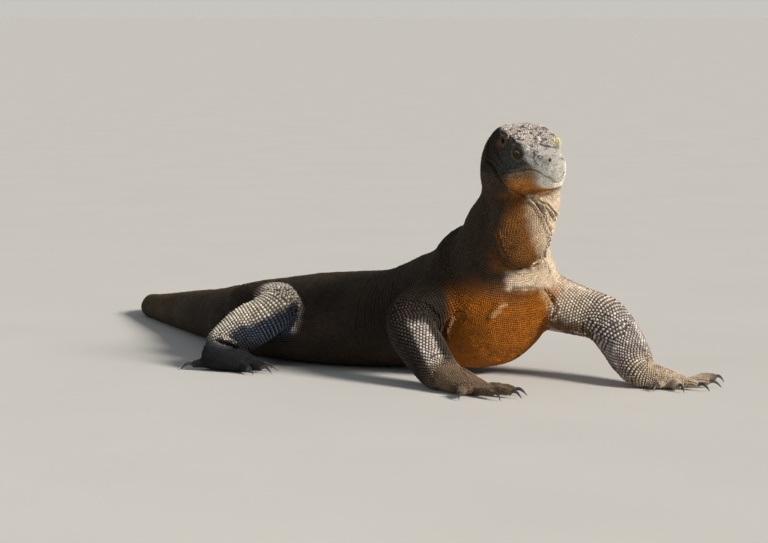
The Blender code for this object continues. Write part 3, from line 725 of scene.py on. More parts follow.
def work_creases(mesh):
    tree = skin_tree(mesh)
    co, no = coordinates(mesh), normals(mesh)
    move = np.zeros(len(co))
    for where, both, width, depth, swell, fade, path in (*CREASES.values(), *paw_creases()):
        path = np.array(path, float)
        paths = [path, path * (1, -1, 1)] if both else [path]
        for points in paths:
            if where == "head":
                points = turned(points, HEAD)
            points = on_skin(tree, points)
            index, off, share = near_path(co, points, abs(width) * 4)
            ends = ramp(share, 0, fade) * ramp(share, 1, 1 - fade)
            groove = -depth * np.exp(-((off / width) ** 2))
            beside = swell * np.exp(-(((off - 2.1 * width) / (1.1 * width)) ** 2))
            move[index] += (groove + beside) * ends
            if depth > 0:
                CREASE_LINES.append((points, width, depth, swell))
    for pit in PITS:
        for hand in (1, -1):
            frame_here = pit_frame(pit, hand, tree)
            far = far_from_pit(co, frame_here)
            near = np.nonzero(far < 2.6)[0]
            far = far[near]
            depth, rim = pit[4:]
            move[near] += rim * np.exp(-(((far - 1.4) / 0.32) ** 2)) - depth * ramp(far, 1.12, 0.55)
            PIT_FRAMES.append(frame_here)
    set_coordinates(mesh, co + no * move[:, None])


def work_lids(mesh):
    """Raises the lids over the eyeballs and opens them."""
    co = coordinates(mesh)
    for centre, gaze, along, up in eye_frames():
        off = co - centre
        far = np.linalg.norm(off, axis=1)
        near = np.nonzero(far < 0.030)[0]
        off, far = off[near], far[near]
        unit = off / far[:, None]
        front = unit @ gaze
        wide = np.hypot(unit @ along / LID_OPEN[0], unit @ up / LID_OPEN[1])
        wide = np.where(front > 0, wide, 9)
        lid = EYE_RADIUS + 0.0013 + 0.0006 * np.exp(-(((wide - 1.12) / 0.14) ** 2))
        lid += 0.0004 * np.sin((wide - 1) * math.tau / 0.42) * ramp(wide, 1.0, 1.3)
        inside = EYE_RADIUS - 0.0045
        wanted = np.where(wide < 1.0, inside, lid)
        hold = ramp(wide, 2.5, 1.65)
        rise = far + (wanted - far) * hold
        keep = ramp(wide, 1.25, 1.7)
        new = rise * (1 - keep) + np.maximum(rise, far) * keep
        co[near] = centre + unit * new[:, None]
    set_coordinates(mesh, co)


def work_folds(mesh, tubes):
    """Loose skin: shallow folds round the neck, on the flanks and behind the limbs."""
    co, no = coordinates(mesh), normals(mesh)
    slack = grain(co * (1.0, 1.0, 0.45), 0.016, 3) + 0.5 * grain(co, 0.009, 4)
    _, share, _, off = tubes["spine"].place(co)
    neck = ramp(share, 0.07, 0.11) * ramp(share, 0.27, 0.21)
    flank = ramp(share, 0.27, 0.34) * ramp(share, 0.62, 0.50)
    on_trunk = ramp(off, 0.018, 0.004)
    wave = share * 186 + 1.6 * grain(co, 0.050, 5)
    pleat = np.abs(np.sin(wave)) ** 0.6 - 0.72
    patchy = ramp(grain(co, 0.045, 6), -0.35, 0.45)
    move = slack * (0.0004 + 0.0006 * neck + 0.0005 * flank)
    move += pleat * patchy * on_trunk * (0.0016 * neck + 0.0011 * flank)
    set_coordinates(mesh, co + no * (move - COAT_DEPTH)[:, None])


def finished_skin(tubes):
    skin = whole_body()
    head_inverse = HEAD.inverted()

    def on_head(points):
        h = turned(points, head_inverse)
        return (h[:, 0] < 0.185) & (h[:, 2] > -0.075) & (np.abs(h[:, 1]) < 0.075)

    def on_creases(points):
        found = np.zeros(len(points), bool)
        for where, _, width, *_, path in CREASES.values():
            if where == "body":
                index, _, _ = near_path(points, path, 3.2 * width + 0.003)
                found[index] = True
        return found

    def on_features(points):
        found = np.zeros(len(points), bool)
        for centre, *_ in eye_frames():
            found |= np.linalg.norm(points - centre, axis=1) < 0.021
        mouth = turned(np.array(WHOLE_MOUTH), HEAD)
        index, _, _ = near_path(points, mouth, 0.006)
        found[index] = True
        for pit in PITS[:2]:
            for hand in (1, -1):
                found |= far_from_pit(points, pit_frame(pit, hand)) < 2.2
        return found

    subdivide_where(skin, on_head)
    subdivide_where(skin, on_creases)
    subdivide_where(skin, on_features)
    work_folds(skin.data, tubes)
    work_creases(skin.data)
    work_lids(skin.data)
    co = coordinates(skin.data)
    co[:, 2] = np.maximum(co[:, 2], FLOOR_GAP)
    set_coordinates(skin.data, co)
    skin.data.shade_smooth()
    return skin


# ---------------------------------------------------------------- markings, painted sunlight and painted shade


class Tube:
    """A stretch of the body with rings round it: rows of scales, and the place of a point."""

    def __init__(self, name, rings):
        self.name = name
        self.rings = np.array([[tuple(p) for p in r] for r in rings])
        self.centres = self.rings.mean(1)
        step = np.linalg.norm(np.diff(self.centres, axis=0), axis=1)
        self.along = np.concatenate([[0], np.cumsum(step)])
        self.radius = np.linalg.norm(self.rings - self.centres[:, None], axis=2).mean(1)
        self.across = self.rings[:, 0] - self.centres
        self.across /= np.linalg.norm(self.across, axis=1)[:, None]
        self.lie = np.gradient(self.centres, axis=0)
        self.lie /= np.linalg.norm(self.lie, axis=1)[:, None]
        self.high = np.cross(self.across, self.lie)

    def place(self, points):
        """Nearest ring, share along, angle round and distance outside, for each point."""
        nearest = np.empty(len(points), int)
        for start in range(0, len(points), 20000):
            block = points[start:start + 20000]
            off = np.linalg.norm(block[:, None] - self.centres[None], axis=2)
            nearest[start:start + 20000] = (off - self.radius * 0.3).argmin(1)
        off = points - self.centres[nearest]
        angle = np.arctan2(
            (off * self.high[nearest]).sum(1), (off * self.across[nearest]).sum(1)
        )
        ahead = (off * self.lie[nearest]).sum(1)
        share = (self.along[nearest] + ahead) / self.along[-1]
        outside = np.linalg.norm(off - ahead[:, None] * self.lie[nearest], axis=1)
        beyond = np.where(nearest == 0, np.maximum(0, -ahead), 0)
        beyond += np.where(nearest == len(self.centres) - 1, np.maximum(0, ahead), 0)
        return nearest, share, angle, outside - self.radius[nearest] + beyond


def all_tubes():
    tubes = {"spine": Tube("spine", spine_rings(72))}
    for name, rows in LIMBS.items():
        tubes[name] = Tube(name, limb_rings(rows, 48))
    for name, paw in PAWS.items():
        tubes[name] = Tube(name, limb_rings(palm_rows(paw), 48))
        for number, tip in enumerate(paw["tips"], 1):
            tubes[f"{name}_{number}"] = Tube(f"{name}_{number}", limb_rings(digit_rows(paw, tip), 24))
    return tubes


def over(colour, tint, share):
    """The colour covered by another one, one share for each point."""
    share = share[:, None]
    return colour * (1 - share) + np.array(tint) * share


# Tints of the head, of the body and limbs, and of the folds and pits, in linear colour. Several stand for
# light rather than the animal's own colour: painted sunlight, painted shade, painted warm bounce light and
# painted highlights, as marked where they are used.
TINT_FACE_SHADED = (0.053, 0.054, 0.047)
TINT_CHEEK_SHADED = (0.026, 0.018, 0.011)
TINT_SNOUT_GREY = (0.15, 0.145, 0.125)
TINT_LIP_PALE = (0.26, 0.235, 0.185)
TINT_LIP_TAN = (0.15, 0.12, 0.085)
TINT_SNOUT_PALE_SUNLIT = (0.50, 0.475, 0.435)
TINT_SNOUT_SUNLIT_SIDE = (0.80, 0.78, 0.72)
TINT_CROWN_SUNLIT = (0.54, 0.485, 0.45)
TINT_CROWN_FLECK = (0.62, 0.54, 0.41)
TINT_SNOUT_PATCH = (0.030, 0.030, 0.037)
TINT_JAW_EDGE = (0.30, 0.220, 0.130)
TINT_JAW_WITH_BOUNCE_LIGHT = (0.50, 0.195, 0.034)
TINT_JAW_UNDER_SHADE = (0.26, 0.100, 0.016)
TINT_CHIN_SUNLIT = (0.84, 0.77, 0.66)
TINT_JAW_BACK = (0.062, 0.043, 0.027)
TINT_EAR = (0.190, 0.120, 0.075)
TINT_BROW = (0.84, 0.74, 0.47)
TINT_LID = (0.030, 0.027, 0.023)
TINT_LID_EDGE = (0.16, 0.145, 0.095)
TINT_FLANK_SHADED = (0.030, 0.021, 0.014)
TINT_BACK = (0.052, 0.038, 0.026)
TINT_BELLY_SHADE = (0.036, 0.024, 0.015)
TINT_TAIL = (0.070, 0.047, 0.028)
TINT_NECK = (0.048, 0.032, 0.020)
TINT_THROAT_SHADED = (0.170, 0.066, 0.013)
TINT_THROAT_MOTTLE = (0.075, 0.032, 0.010)
TINT_THROAT_SUNLIT = (0.40, 0.310, 0.215)
TINT_THROAT_SUNLIT_PALE = (0.60, 0.500, 0.395)
TINT_CHEST_WITH_BOUNCE_LIGHT = (0.300, 0.096, 0.006)
TINT_CHEST_MOTTLE = (0.120, 0.048, 0.010)
TINT_CHEST_SUN_SPOT = (0.52, 0.36, 0.19)
TINT_CHEST_SUNLIT_BAND = (0.56, 0.455, 0.335)
TINT_FOREARM_SHADED = (0.040, 0.031, 0.025)
TINT_FOREARM_SUNLIT_STRIP = (0.46, 0.41, 0.37)
TINT_ARM_SUNLIT_TAN = (0.64, 0.54, 0.43)
TINT_ARM_SUNLIT_GREY = (0.34, 0.30, 0.285)
TINT_ARM_UNDER_SHADE = (0.17, 0.10, 0.055)
TINT_SHANK_SHADE = (0.042, 0.052, 0.080)
TINT_LEG_SUNLIT_TOP = (0.58, 0.52, 0.44)
TINT_SUNLIT_FLECK = (0.68, 0.63, 0.56)
TINT_FOLD_HIGHLIGHT = (0.62, 0.49, 0.35)
TINT_CREASE_SHADE = (0.070, 0.032, 0.014)
TINT_NOSTRIL = (0.34, 0.115, 0.040)
TINT_EAR_HOLE_SHADE = (0.020, 0.015, 0.012)
# Paw tints: hand_L pale with painted sunlight, hand_R darker with painted shade, the feet bluish dark with
# painted shade.
PAW_TINTS = {
    "hand_R": (0.17, 0.118, 0.075),
    "hand_L": (0.50, 0.40, 0.30),
    "foot_R": (0.016, 0.018, 0.022),
    "foot_L": (0.016, 0.018, 0.022),
}


def head_colour(h, up_facing):
    """The head's markings from its own coordinates, with painted sunlight on the crown, snout and chin and
    painted shade on the face's side and under the jaw, and how dark the skin between scales is, which also
    sets the painted crevice shade round each scale's base.
    """
    x, y, z = h[:, 0], np.abs(h[:, 1]), h[:, 2]
    line_x, line_z = zip(*[(p[0], p[2]) for p in MOUTH[::-1]])
    above = z - np.interp(x, line_x + (0.20,), line_z + (-0.030,))
    fleck = grain(h, 0.0075, 12)
    speck = grain(h, 0.0040, 13)

    # the face's own grey-brown side, darkened as painted shade; the temple darker still with painted shade
    face = np.ones((len(h), 3)) * TINT_FACE_SHADED
    face = over(face, TINT_CHEEK_SHADED, ramp(x, 0.105, 0.150))
    face = over(face, TINT_SNOUT_GREY, ramp(x, 0.075, 0.040) * 0.75)
    face = over(face, TINT_LIP_PALE, ramp(above, 0.012, 0.002) * ramp(x, 0.090, 0.050))
    face = over(face, TINT_LIP_TAN, ramp(above, 0.008, 0.002) * ramp(np.abs(x - 0.085), 0.030, 0.015))
    # crown: the upward-facing crown paler, its own cream scales with painted sunlight
    crown = ramp(up_facing, 0.22, 0.55) * np.maximum(ramp(z, 0.040, 0.047), ramp(x, 0.075, 0.055))
    crown = crown * ramp(x + 3.0 * np.clip(y - 0.030, 0, 1), 0.192, 0.174)
    # light: the snout's own pale front with painted sunlight; side: painted sunlight on the snout's flank,
    # which the key light leaves in shade
    slant = x - 1.5 * np.clip(above, 0, 0.022) + 0.004 * fleck
    light = ramp(slant, 0.048, 0.024)
    side = light * ramp(up_facing, 0.55, 0.15) * ramp(y, 0.008, 0.016)
    face = over(face, TINT_SNOUT_PALE_SUNLIT, np.maximum(crown * ramp(x, 0.085, 0.045), light))
    face = over(face, TINT_SNOUT_SUNLIT_SIDE, side)
    face = face * (1 - 0.45 * ramp(speck + 0.5 * fleck, 0.25, 0.9) * light)[:, None]
    face = over(face, TINT_CROWN_SUNLIT, crown * ramp(x, 0.045, 0.085))
    dark = ramp(fleck + 0.8 * speck, 0.15, 0.60) * crown * ramp(x, 0.030, 0.055)
    face = face * (1 - 0.80 * dark)[:, None]
    face = over(face, TINT_CROWN_FLECK, ramp(speck - fleck, 0.55, 1.0) * crown * ramp(x, 0.06, 0.09))
    patch = ramp(np.hypot((x - 0.046) / 0.016, (h[:, 1] + 0.019) / 0.008), 1.2, 0.6)
    patch = patch * ramp(z, 0.015, 0.020) * ramp(speck, -0.5, 0.2)
    face = over(face, TINT_SNOUT_PATCH, patch * 0.95)

    front = ramp(x, 0.018, 0.066)
    edge = ramp(above, 0.0015, -0.0015) * ramp(x, 0.020, 0.036) * ramp(x, 0.120, 0.100)
    face = over(face, TINT_JAW_EDGE, edge)
    # the jaw's own orange, deepened by painted warm bounce light
    face = over(face, TINT_JAW_WITH_BOUNCE_LIGHT, ramp(above + 0.002 * fleck, -0.0040, -0.0250) * front)
    # painted shade under the jaw
    face = over(face, TINT_JAW_UNDER_SHADE, ramp(above, -0.026, -0.044) * front)
    # painted sunlight on the front of the lower jaw
    face = over(face, TINT_CHIN_SUNLIT, ramp(above, 0.0, -0.003) * (1 - front) * ramp(x, 0.060, 0.020))
    back = ramp(above, 0.004, -0.004) * ramp(x, 0.095, 0.125) * ramp(y, 0.02, 0.04)
    face = over(face, TINT_JAW_BACK, back)

    ear = np.hypot(x - PITS[1][0][0], z - PITS[1][0][2])
    face = over(face, TINT_EAR, ramp(ear, 0.017, 0.008) * ramp(y, 0.030, 0.040) * 0.7)
    eye = np.linalg.norm(np.column_stack([x, y, z]) - EYE_PLACE, axis=1)
    over_left = np.linalg.norm(h - (0.080, 0.034, 0.042), axis=1)
    face = over(face, TINT_BROW, ramp(over_left, 0.019, 0.012) * 0.95)
    face = over(face, TINT_LID, ramp(eye, 0.0170, 0.0145) * 0.92)
    face = over(face, TINT_LID_EDGE, ramp(np.abs(eye - 0.0148), 0.0030, 0.0014) * 0.55)
    gaps = 0.62 - 0.30 * crown * ramp(x, 0.045, 0.085) + 0.12 * light
    return face, gaps


def hide_colour(points, facing, tubes):
    """Markings at points of the skin, with painted sunlight, painted shade, painted bounce light and
    painted fold highlights among them, and the tone of the skin between scales there, which also sets the
    painted crevice shade round each scale's base.
    """
    h = turned(points, HEAD.inverted())
    _, share, angle, outside = tubes["spine"].place(points)
    under = ramp(-np.sin(angle), 0.15, 0.62)
    top = ramp(np.sin(angle), 0.1, 0.8)
    patch = grain(points, 0.035, 11)
    fleck = grain(points, 0.009, 12)

    # the trunk's own dark brown, deepened as painted shade; it is also the base of the limbs
    colour = np.ones((len(points), 3)) * TINT_FLANK_SHADED        # flank
    colour = over(colour, TINT_BACK, top)                 # back
    behind = ramp(share, 0.27, 0.36)
    frontal = facing @ np.array((0.42, -0.85, -0.32))
    low_chest = ramp(points[:, 2] + 0.010 * patch + 0.005 * fleck, 0.196, 0.132) * ramp(share, 0.36, 0.27)
    low_chest = low_chest * ramp(points[:, 0], 0.090, 0.125) * ramp(outside, 0.028, 0.010)
    breast = low_chest * ramp(frontal, -0.10, 0.25)
    breast = np.maximum(breast, low_chest * under)
    # belly: the underside's colour as seen in full shade, painted shade
    belly = under * np.maximum(behind, ramp(points[:, 0], 0.095, 0.050))
    colour = over(colour, TINT_BELLY_SHADE, belly)
    tail = ramp(share, 0.50, 0.60)
    colour = over(colour, TINT_TAIL, tail * (1 - 0.4 * under))
    gaps = 0.42 + 0.40 * under

    neck = ramp(share, 0.215, 0.150)
    colour = over(colour, TINT_NECK, neck)
    throat = ramp(frontal, 0.28, 0.72) * neck * ramp(points[:, 0], 0.176, 0.198)
    throat = throat * ramp(points[:, 2], 0.190, 0.206)
    mottle = ramp(grain(points, 0.016, 14) + 0.5 * fleck, 0.1, 0.9) * ramp(points[:, 0], 0.29, 0.25)
    # the throat's own orange-brown, darkened as painted shade and warmed by painted bounce light
    colour = over(colour, TINT_THROAT_SHADED, throat)
    colour = over(colour, TINT_THROAT_MOTTLE, throat * mottle * 0.8)
    ahead = ramp(-facing[:, 1], -0.15, 0.30)
    # lit: painted sunlight on the front and right of the throat and pouch; its slanting edge is a painted
    # shadow edge cast by the jaw
    edge = points[:, 0] + 0.004 * fleck - 0.246 - 0.35 * np.clip(0.290 - points[:, 2], 0, 0.075)
    lit = ramp(edge, -0.009, 0.015) * ramp(share, 0.24, 0.20) * ahead * ramp(points[:, 2], 0.140, 0.165)
    colour = over(colour, TINT_THROAT_SUNLIT, lit * 0.92)
    colour = over(colour, TINT_THROAT_SUNLIT_PALE, lit * ramp(points[:, 0], 0.268, 0.292) * 0.92)
    # band: a painted band of sunlight across the chest, under the pouch
    height = points[:, 2] + 0.004 * fleck
    band = ramp(height, 0.161, 0.171) * ramp(height, 0.206, 0.193) * ramp(frontal, 0.05, 0.35)
    band = band * ramp(points[:, 0] + 0.006 * fleck, 0.205, 0.225) * ramp(points[:, 1], -0.30, -0.36)
    # the chest's own orange-brown, made deeper and brighter by painted warm bounce light
    colour = over(colour, TINT_CHEST_WITH_BOUNCE_LIGHT, breast)              # chest
    colour = over(colour, TINT_CHEST_MOTTLE, breast * ramp(fleck + patch, 0.3, 1.2) * 0.6)
    fine = grain(points, 0.005, 15)
    # painted patches of sunlight on the chest
    for x, z, wide, high, tilt in ((0.200, 0.127, 0.021, 0.007, 0.8), (0.288, 0.146, 0.024, 0.009, 1.9),
                                   (0.120, 0.102, 0.020, 0.005, 1.2)):
        dx, dz = points[:, 0] - x, points[:, 2] - z
        spot = ((dx * math.cos(tilt) + dz * math.sin(tilt)) / wide) ** 2
        spot += ((dz * math.cos(tilt) - dx * math.sin(tilt)) / high) ** 2 + 0.7 * fleck + 0.8 * fine
        colour = over(colour, TINT_CHEST_SUN_SPOT, ramp(spot, 1.2, 0.2) * ramp(frontal, 0.1, 0.4) * 0.65)
    colour = over(colour, TINT_CHEST_SUNLIT_BAND, band * 0.85)
    gaps = gaps + (0.82 - gaps) * np.maximum(throat, lit)

    for name in LIMBS:
        _, along, _, off = tubes[name].place(points)
        limb = ramp(outside - off, -0.004, 0.022) * ramp(off, 0.030, 0.012)
        shade = np.ones((len(points), 3)) * TINT_FLANK_SHADED
        if name == "arm_R":
            # right arm: dark with painted shade, with a painted strip of sunlight down the forearm
            strip = ramp(np.abs(points[:, 0] - 0.058 - 0.52 * (0.108 - points[:, 2])), 0.021, 0.011)
            strip = strip * ramp(points[:, 2], 0.118, 0.102) * ramp(-facing[:, 1], 0.2, 0.6)
            shade = over(shade, TINT_FOREARM_SHADED, ramp(along, 0.45, 0.60))
            shade = over(shade, TINT_FOREARM_SUNLIT_STRIP, strip * ramp(along, 1.02, 0.90))
        elif name == "arm_L":
            # left arm: painted sunlight on the side that faces forward, painted shade on the side that
            # faces down
            strip = ahead
            shade = over(shade, over(shade * 0 + TINT_ARM_SUNLIT_TAN, TINT_ARM_SUNLIT_GREY,
                                     ramp(along, 0.30, 0.60)), strip)
            shade = over(shade, TINT_ARM_UNDER_SHADE, ramp(-facing[:, 2], 0.15, 0.55))
        else:
            # legs: painted sunlight on the upward-facing top of the shank, bluish painted shade on the rest
            # of the lower leg
            strip = ramp(facing[:, 2], 0.02, 0.36) * ramp(along, 0.44, 0.56) * ramp(along, 1.02, 0.92)
            shade = over(shade, TINT_SHANK_SHADE, ramp(along, 0.5, 0.65))
            shade = over(shade, TINT_LEG_SUNLIT_TOP, strip)
        # pale flecks only inside the painted sunlit strips: painted sunlight on single scales
        shade = over(shade, TINT_SUNLIT_FLECK, ramp(fleck, 0.15, 0.6) * strip * 0.5)
        colour = over(colour, (0, 0, 0), limb) + shade * limb[:, None]
        gaps = gaps + (0.20 - gaps) * limb * ramp(along, 0.15, 0.45)

    for name, paw in PAWS.items():
        middle = np.array(paw["palm"][1])
        off = np.linalg.norm((points - middle) * (1, 1, 0.6), axis=1)
        near = ramp(off, 0.115, 0.050) * ramp(points[:, 2], 0.070, 0.040)
        colour = over(colour, PAW_TINTS[name], near)
        gaps = gaps + (0.35 - gaps) * near

    on_head = ramp(h[:, 0], 0.200, 0.170) * ramp(-h[:, 2], 0.060, 0.044)
    face, face_gaps = head_colour(h, facing @ np.array(HEAD.to_3x3() @ UP))
    colour = over(colour, (0, 0, 0), on_head) + face * on_head[:, None]
    gaps = gaps + (face_gaps - gaps) * on_head

    # painted shade in the creases, deeper ones darker, and painted highlights on the ridges beside the deep
    # folds
    dark = np.zeros(len(points))
    ridge = np.zeros(len(points))
    for path, width, depth, swell in CREASE_LINES:
        index, off, _ = near_path(points, path, width * 3.5)
        strength = min(0.62, depth / 0.0090)
        dark[index] = np.maximum(dark[index], strength * np.exp(-((off / (0.45 * width)) ** 2)))
        if swell > 0.004:
            ridge[index] = np.maximum(ridge[index], np.exp(-(((off - 2.0 * width) / width) ** 2)))
    colour = over(colour, TINT_FOLD_HIGHLIGHT, ridge * 0.75)
    colour = over(colour, TINT_CREASE_SHADE, dark)
    # nostrils in their own reddish colour; the ear holes filled with painted shade
    for number, pit in enumerate(PIT_FRAMES[:4]):
        far = far_from_pit(points, pit)
        tint = TINT_NOSTRIL if number < 2 else TINT_EAR_HOLE_SHADE
        colour = over(colour, tint, ramp(far, 1.25, 0.85))

    tone = 1 + 0.20 * patch + 0.16 * fleck
    return np.clip(colour * tone[:, None], 0.004, 0.9), gaps


# ---------------------------------------------------------------- scales

BEAD_SIDES = 6


# Distance between scale rows: how far along the stretch, as a share, then the distance there.
SCALE_ROWS = {
    "spine": ((0.0, 0.0036), (0.16, 0.0038), (0.28, 0.0043), (0.40, 0.0052), (0.58, 0.0052),
              (0.75, 0.0046), (0.86, 0.0038), (1.0, 0.0026)),
    "arm_R": ((0.0, 0.0044), (0.40, 0.0048), (0.58, 0.0072), (0.85, 0.0064), (1.0, 0.0044)),
    "arm_L": ((0.0, 0.0052), (0.35, 0.0058), (0.55, 0.0066), (0.85, 0.0060), (1.0, 0.0044)),
    "leg": ((0.0, 0.0050), (0.4, 0.0052), (0.6, 0.0066), (0.9, 0.0058), (1.0, 0.0044)),
    "digit": ((0.0, 0.0036), (1.0, 0.0029)),
    "palm": ((0.0, 0.0042), (1.0, 0.0038)),
}


def scale_gap(tube, share):
    """Distance between scale rows for a stretch of the body."""
    kind = tube if tube in SCALE_ROWS else "palm"
    if tube.startswith("leg"):
        kind = "leg"
    elif tube[-1].isdigit():
        kind = "digit"
    return np.interp(share, *zip(*SCALE_ROWS[kind]))


def is_head(h):
    """Which points, in the head's own coordinates, have the head's scales."""
    return (h[:, 0] < 0.175) & (h[:, 2] > -0.062) & (np.abs(h[:, 1]) < 0.075)


def head_gap(h):
    """Distance between scales on the head, from its own coordinates."""
    gap = 0.0025 + 0.0013 * ramp(h[:, 0], 0.03, 0.10)
    gap -= 0.0009 * ramp(h[:, 2], 0.046, 0.036) * ramp(h[:, 0], 0.15, 0.12) * ramp(h[:, 0], 0.03, 0.06)
    for hand in (1, -1):
        off = np.linalg.norm(h - (EYE_PLACE[0], hand * EYE_PLACE[1], EYE_PLACE[2]), axis=1)
        gap = np.minimum(gap, 0.0017 + 0.0012 * ramp(off, 0.013, 0.024))
    return gap


class Scales:
    """Places of scales on the skin, kept apart by a grid of cells."""

    CELL = 0.0065

    def __init__(self):
        self.cells = {}
        self.rows = []

    def key(self, p):
        return tuple(int(math.floor(c / self.CELL)) for c in p)

    def crowded(self, p, apart):
        x, y, z = self.key(p)
        limit = apart * apart
        for i in (x - 1, x, x + 1):
            for j in (y - 1, y, y + 1):
                for k in (z - 1, z, z + 1):
                    for q in self.cells.get((i, j, k), ()):
                        dx, dy, dz = p[0] - q[0], p[1] - q[1], p[2] - q[2]
                        if dx * dx + dy * dy + dz * dz < limit:
                            return True
        return False

    def add(self, p, normal, gap):
        self.cells.setdefault(self.key(p), []).append(tuple(p))
        self.rows.append((*p, *normal, gap))


def lay_rows(scales, tree, tube, first, last, reach):
    """Staggered rows round a tube, dropped on to the skin."""
    total = tube.along[-1]
    at = first * total
    row = 0
    while at < last * total:
        share = at / total
        gap = float(scale_gap(tube.name, share))
        k = min(int(np.searchsorted(tube.along, at, side="right")) - 1, len(tube.along) - 2)
        u = (at - tube.along[k]) / (tube.along[k + 1] - tube.along[k])
        outline = tube.rings[k] * (1 - u) + tube.rings[k + 1] * u
        centre = tube.centres[k] * (1 - u) + tube.centres[k + 1] * u
        closed = np.vstack([outline, outline[:1]])
        length = np.concatenate([[0], np.cumsum(np.linalg.norm(np.diff(closed, axis=0), axis=1))])
        count = max(5, round(length[-1] / gap))
        spots = (np.arange(count) + 0.5 * (row % 2)) * length[-1] / count
        for spot in spots:
            p = np.array([np.interp(spot, length, closed[:, i]) for i in range(3)])
            out = p - centre
            out /= np.linalg.norm(out)
            hit, normal, _, _ = tree.ray_cast(Vector(p + out * reach), Vector(-out), reach * 2)
            if hit is None or normal.dot(Vector(out)) < 0.25 or hit.z < 0.0011:
                continue
            if not scales.crowded(hit, gap * 0.80):
                scales.add(hit, normal, gap)
        at += gap * 0.87
        row += 1


def fill_gaps(scales, skin, rng):
    """Scales wherever the rows left room, and all over the head."""
    mesh = skin.data
    mesh.calc_loop_triangles()
    corners = np.empty(len(mesh.loop_triangles) * 3, np.int32)
    mesh.loop_triangles.foreach_get("vertices", corners)
    corners = corners.reshape(-1, 3)
    co, no = coordinates(mesh), normals(mesh)
    a, b, c = (co[corners[:, i]] for i in range(3))
    area = np.linalg.norm(np.cross(b - a, c - a), axis=1) / 2
    middle = (a + b + c) / 3
    h = turned(middle, HEAD.inverted())
    on_head = is_head(h)
    finder = KDTree(len(scales.rows))
    for i, row in enumerate(scales.rows):
        finder.insert(row[:3], i)
    finder.balance()
    gap = np.array([scales.rows[finder.find(p)[1]][6] for p in middle])
    gap[on_head] = head_gap(h[on_head])
    weight = area / gap**2
    total = weight.sum()
    for apart in (0.97, 0.86, 0.76):
        picks = rng.choice(len(area), size=int(total * 3.2), p=weight / total)
        u, v = rng.random(len(picks)), rng.random(len(picks))
        flip = u + v > 1
        u[flip], v[flip] = 1 - u[flip], 1 - v[flip]
        tri = corners[picks]
        w = 1 - u - v
        points = co[tri[:, 0]] * w[:, None] + co[tri[:, 1]] * u[:, None] + co[tri[:, 2]] * v[:, None]
        facing = no[tri[:, 0]] * w[:, None] + no[tri[:, 1]] * u[:, None] + no[tri[:, 2]] * v[:, None]
        facing /= np.linalg.norm(facing, axis=1)[:, None] + 1e-9
        low = points[:, 2] < 0.0012
        for p, n, g, skip in zip(points.tolist(), facing.tolist(), gap[picks].tolist(), low):
            if not skip and not scales.crowded(p, g * apart):
                scales.add(p, n, g)


def unit(v):
    return v / (np.linalg.norm(v, axis=1)[:, None] + 1e-12)


def bead_shapes():
    """The corners and faces of one scale: a low dome, closed underneath."""
    turn = np.arange(BEAD_SIDES) * math.tau / BEAD_SIDES
    base = np.column_stack([np.cos(turn), np.sin(turn), np.full(BEAD_SIDES, -0.55)])
    waist = np.column_stack([0.84 * np.cos(turn), 0.84 * np.sin(turn), np.full(BEAD_SIDES, 0.60)])
    top = np.array([[0.10, 0.0, 1.0]])
    corners = np.vstack([base, waist, top])
    n = BEAD_SIDES
    sides = [(k, (k + 1) % n, n + (k + 1) % n, n + k) for k in range(n)]
    cap = [(n + k, n + (k + 1) % n, 2 * n) for k in range(n)]
    floor = [tuple(range(n - 1, -1, -1))]
    return corners, sides + cap + floor


def joined_mesh(name, corners, faces, uv, tint):
    """One mesh of many scales, from arrays."""
    count, each = corners.shape[:2]
    loops = np.concatenate([np.array(f) for f in faces])
    sizes = np.array([len(f) for f in faces])
    shifts = np.arange(count)[:, None] * each
    mesh = bpy.data.meshes.new(name)
    mesh.vertices.add(count * each)
    mesh.vertices.foreach_set("co", corners.reshape(-1).astype(np.float32))
    mesh.loops.add(count * len(loops))
    mesh.loops.foreach_set("vertex_index", (loops[None] + shifts).ravel().astype(np.int32))
    starts = np.concatenate([[0], np.cumsum(np.tile(sizes, count))[:-1]])
    mesh.polygons.add(count * len(sizes))
    mesh.polygons.foreach_set("loop_start", starts.astype(np.int32))
    mesh.update(calc_edges=True)
    layer = mesh.uv_layers.new(name="OFBake")
    layer.data.foreach_set("uv", uv[:, loops].reshape(-1).astype(np.float32))
    colours = mesh.color_attributes.new("Tint", "FLOAT_COLOR", "POINT")
    colours.data.foreach_set("color", tint.reshape(-1).astype(np.float32))
    mesh.shade_smooth()
    obj = bpy.data.objects.new(name, mesh)
    bpy.context.scene.collection.objects.link(obj)
    return obj


COAT_PIECE = 8900    # scales in one piece, under 200,000 triangles


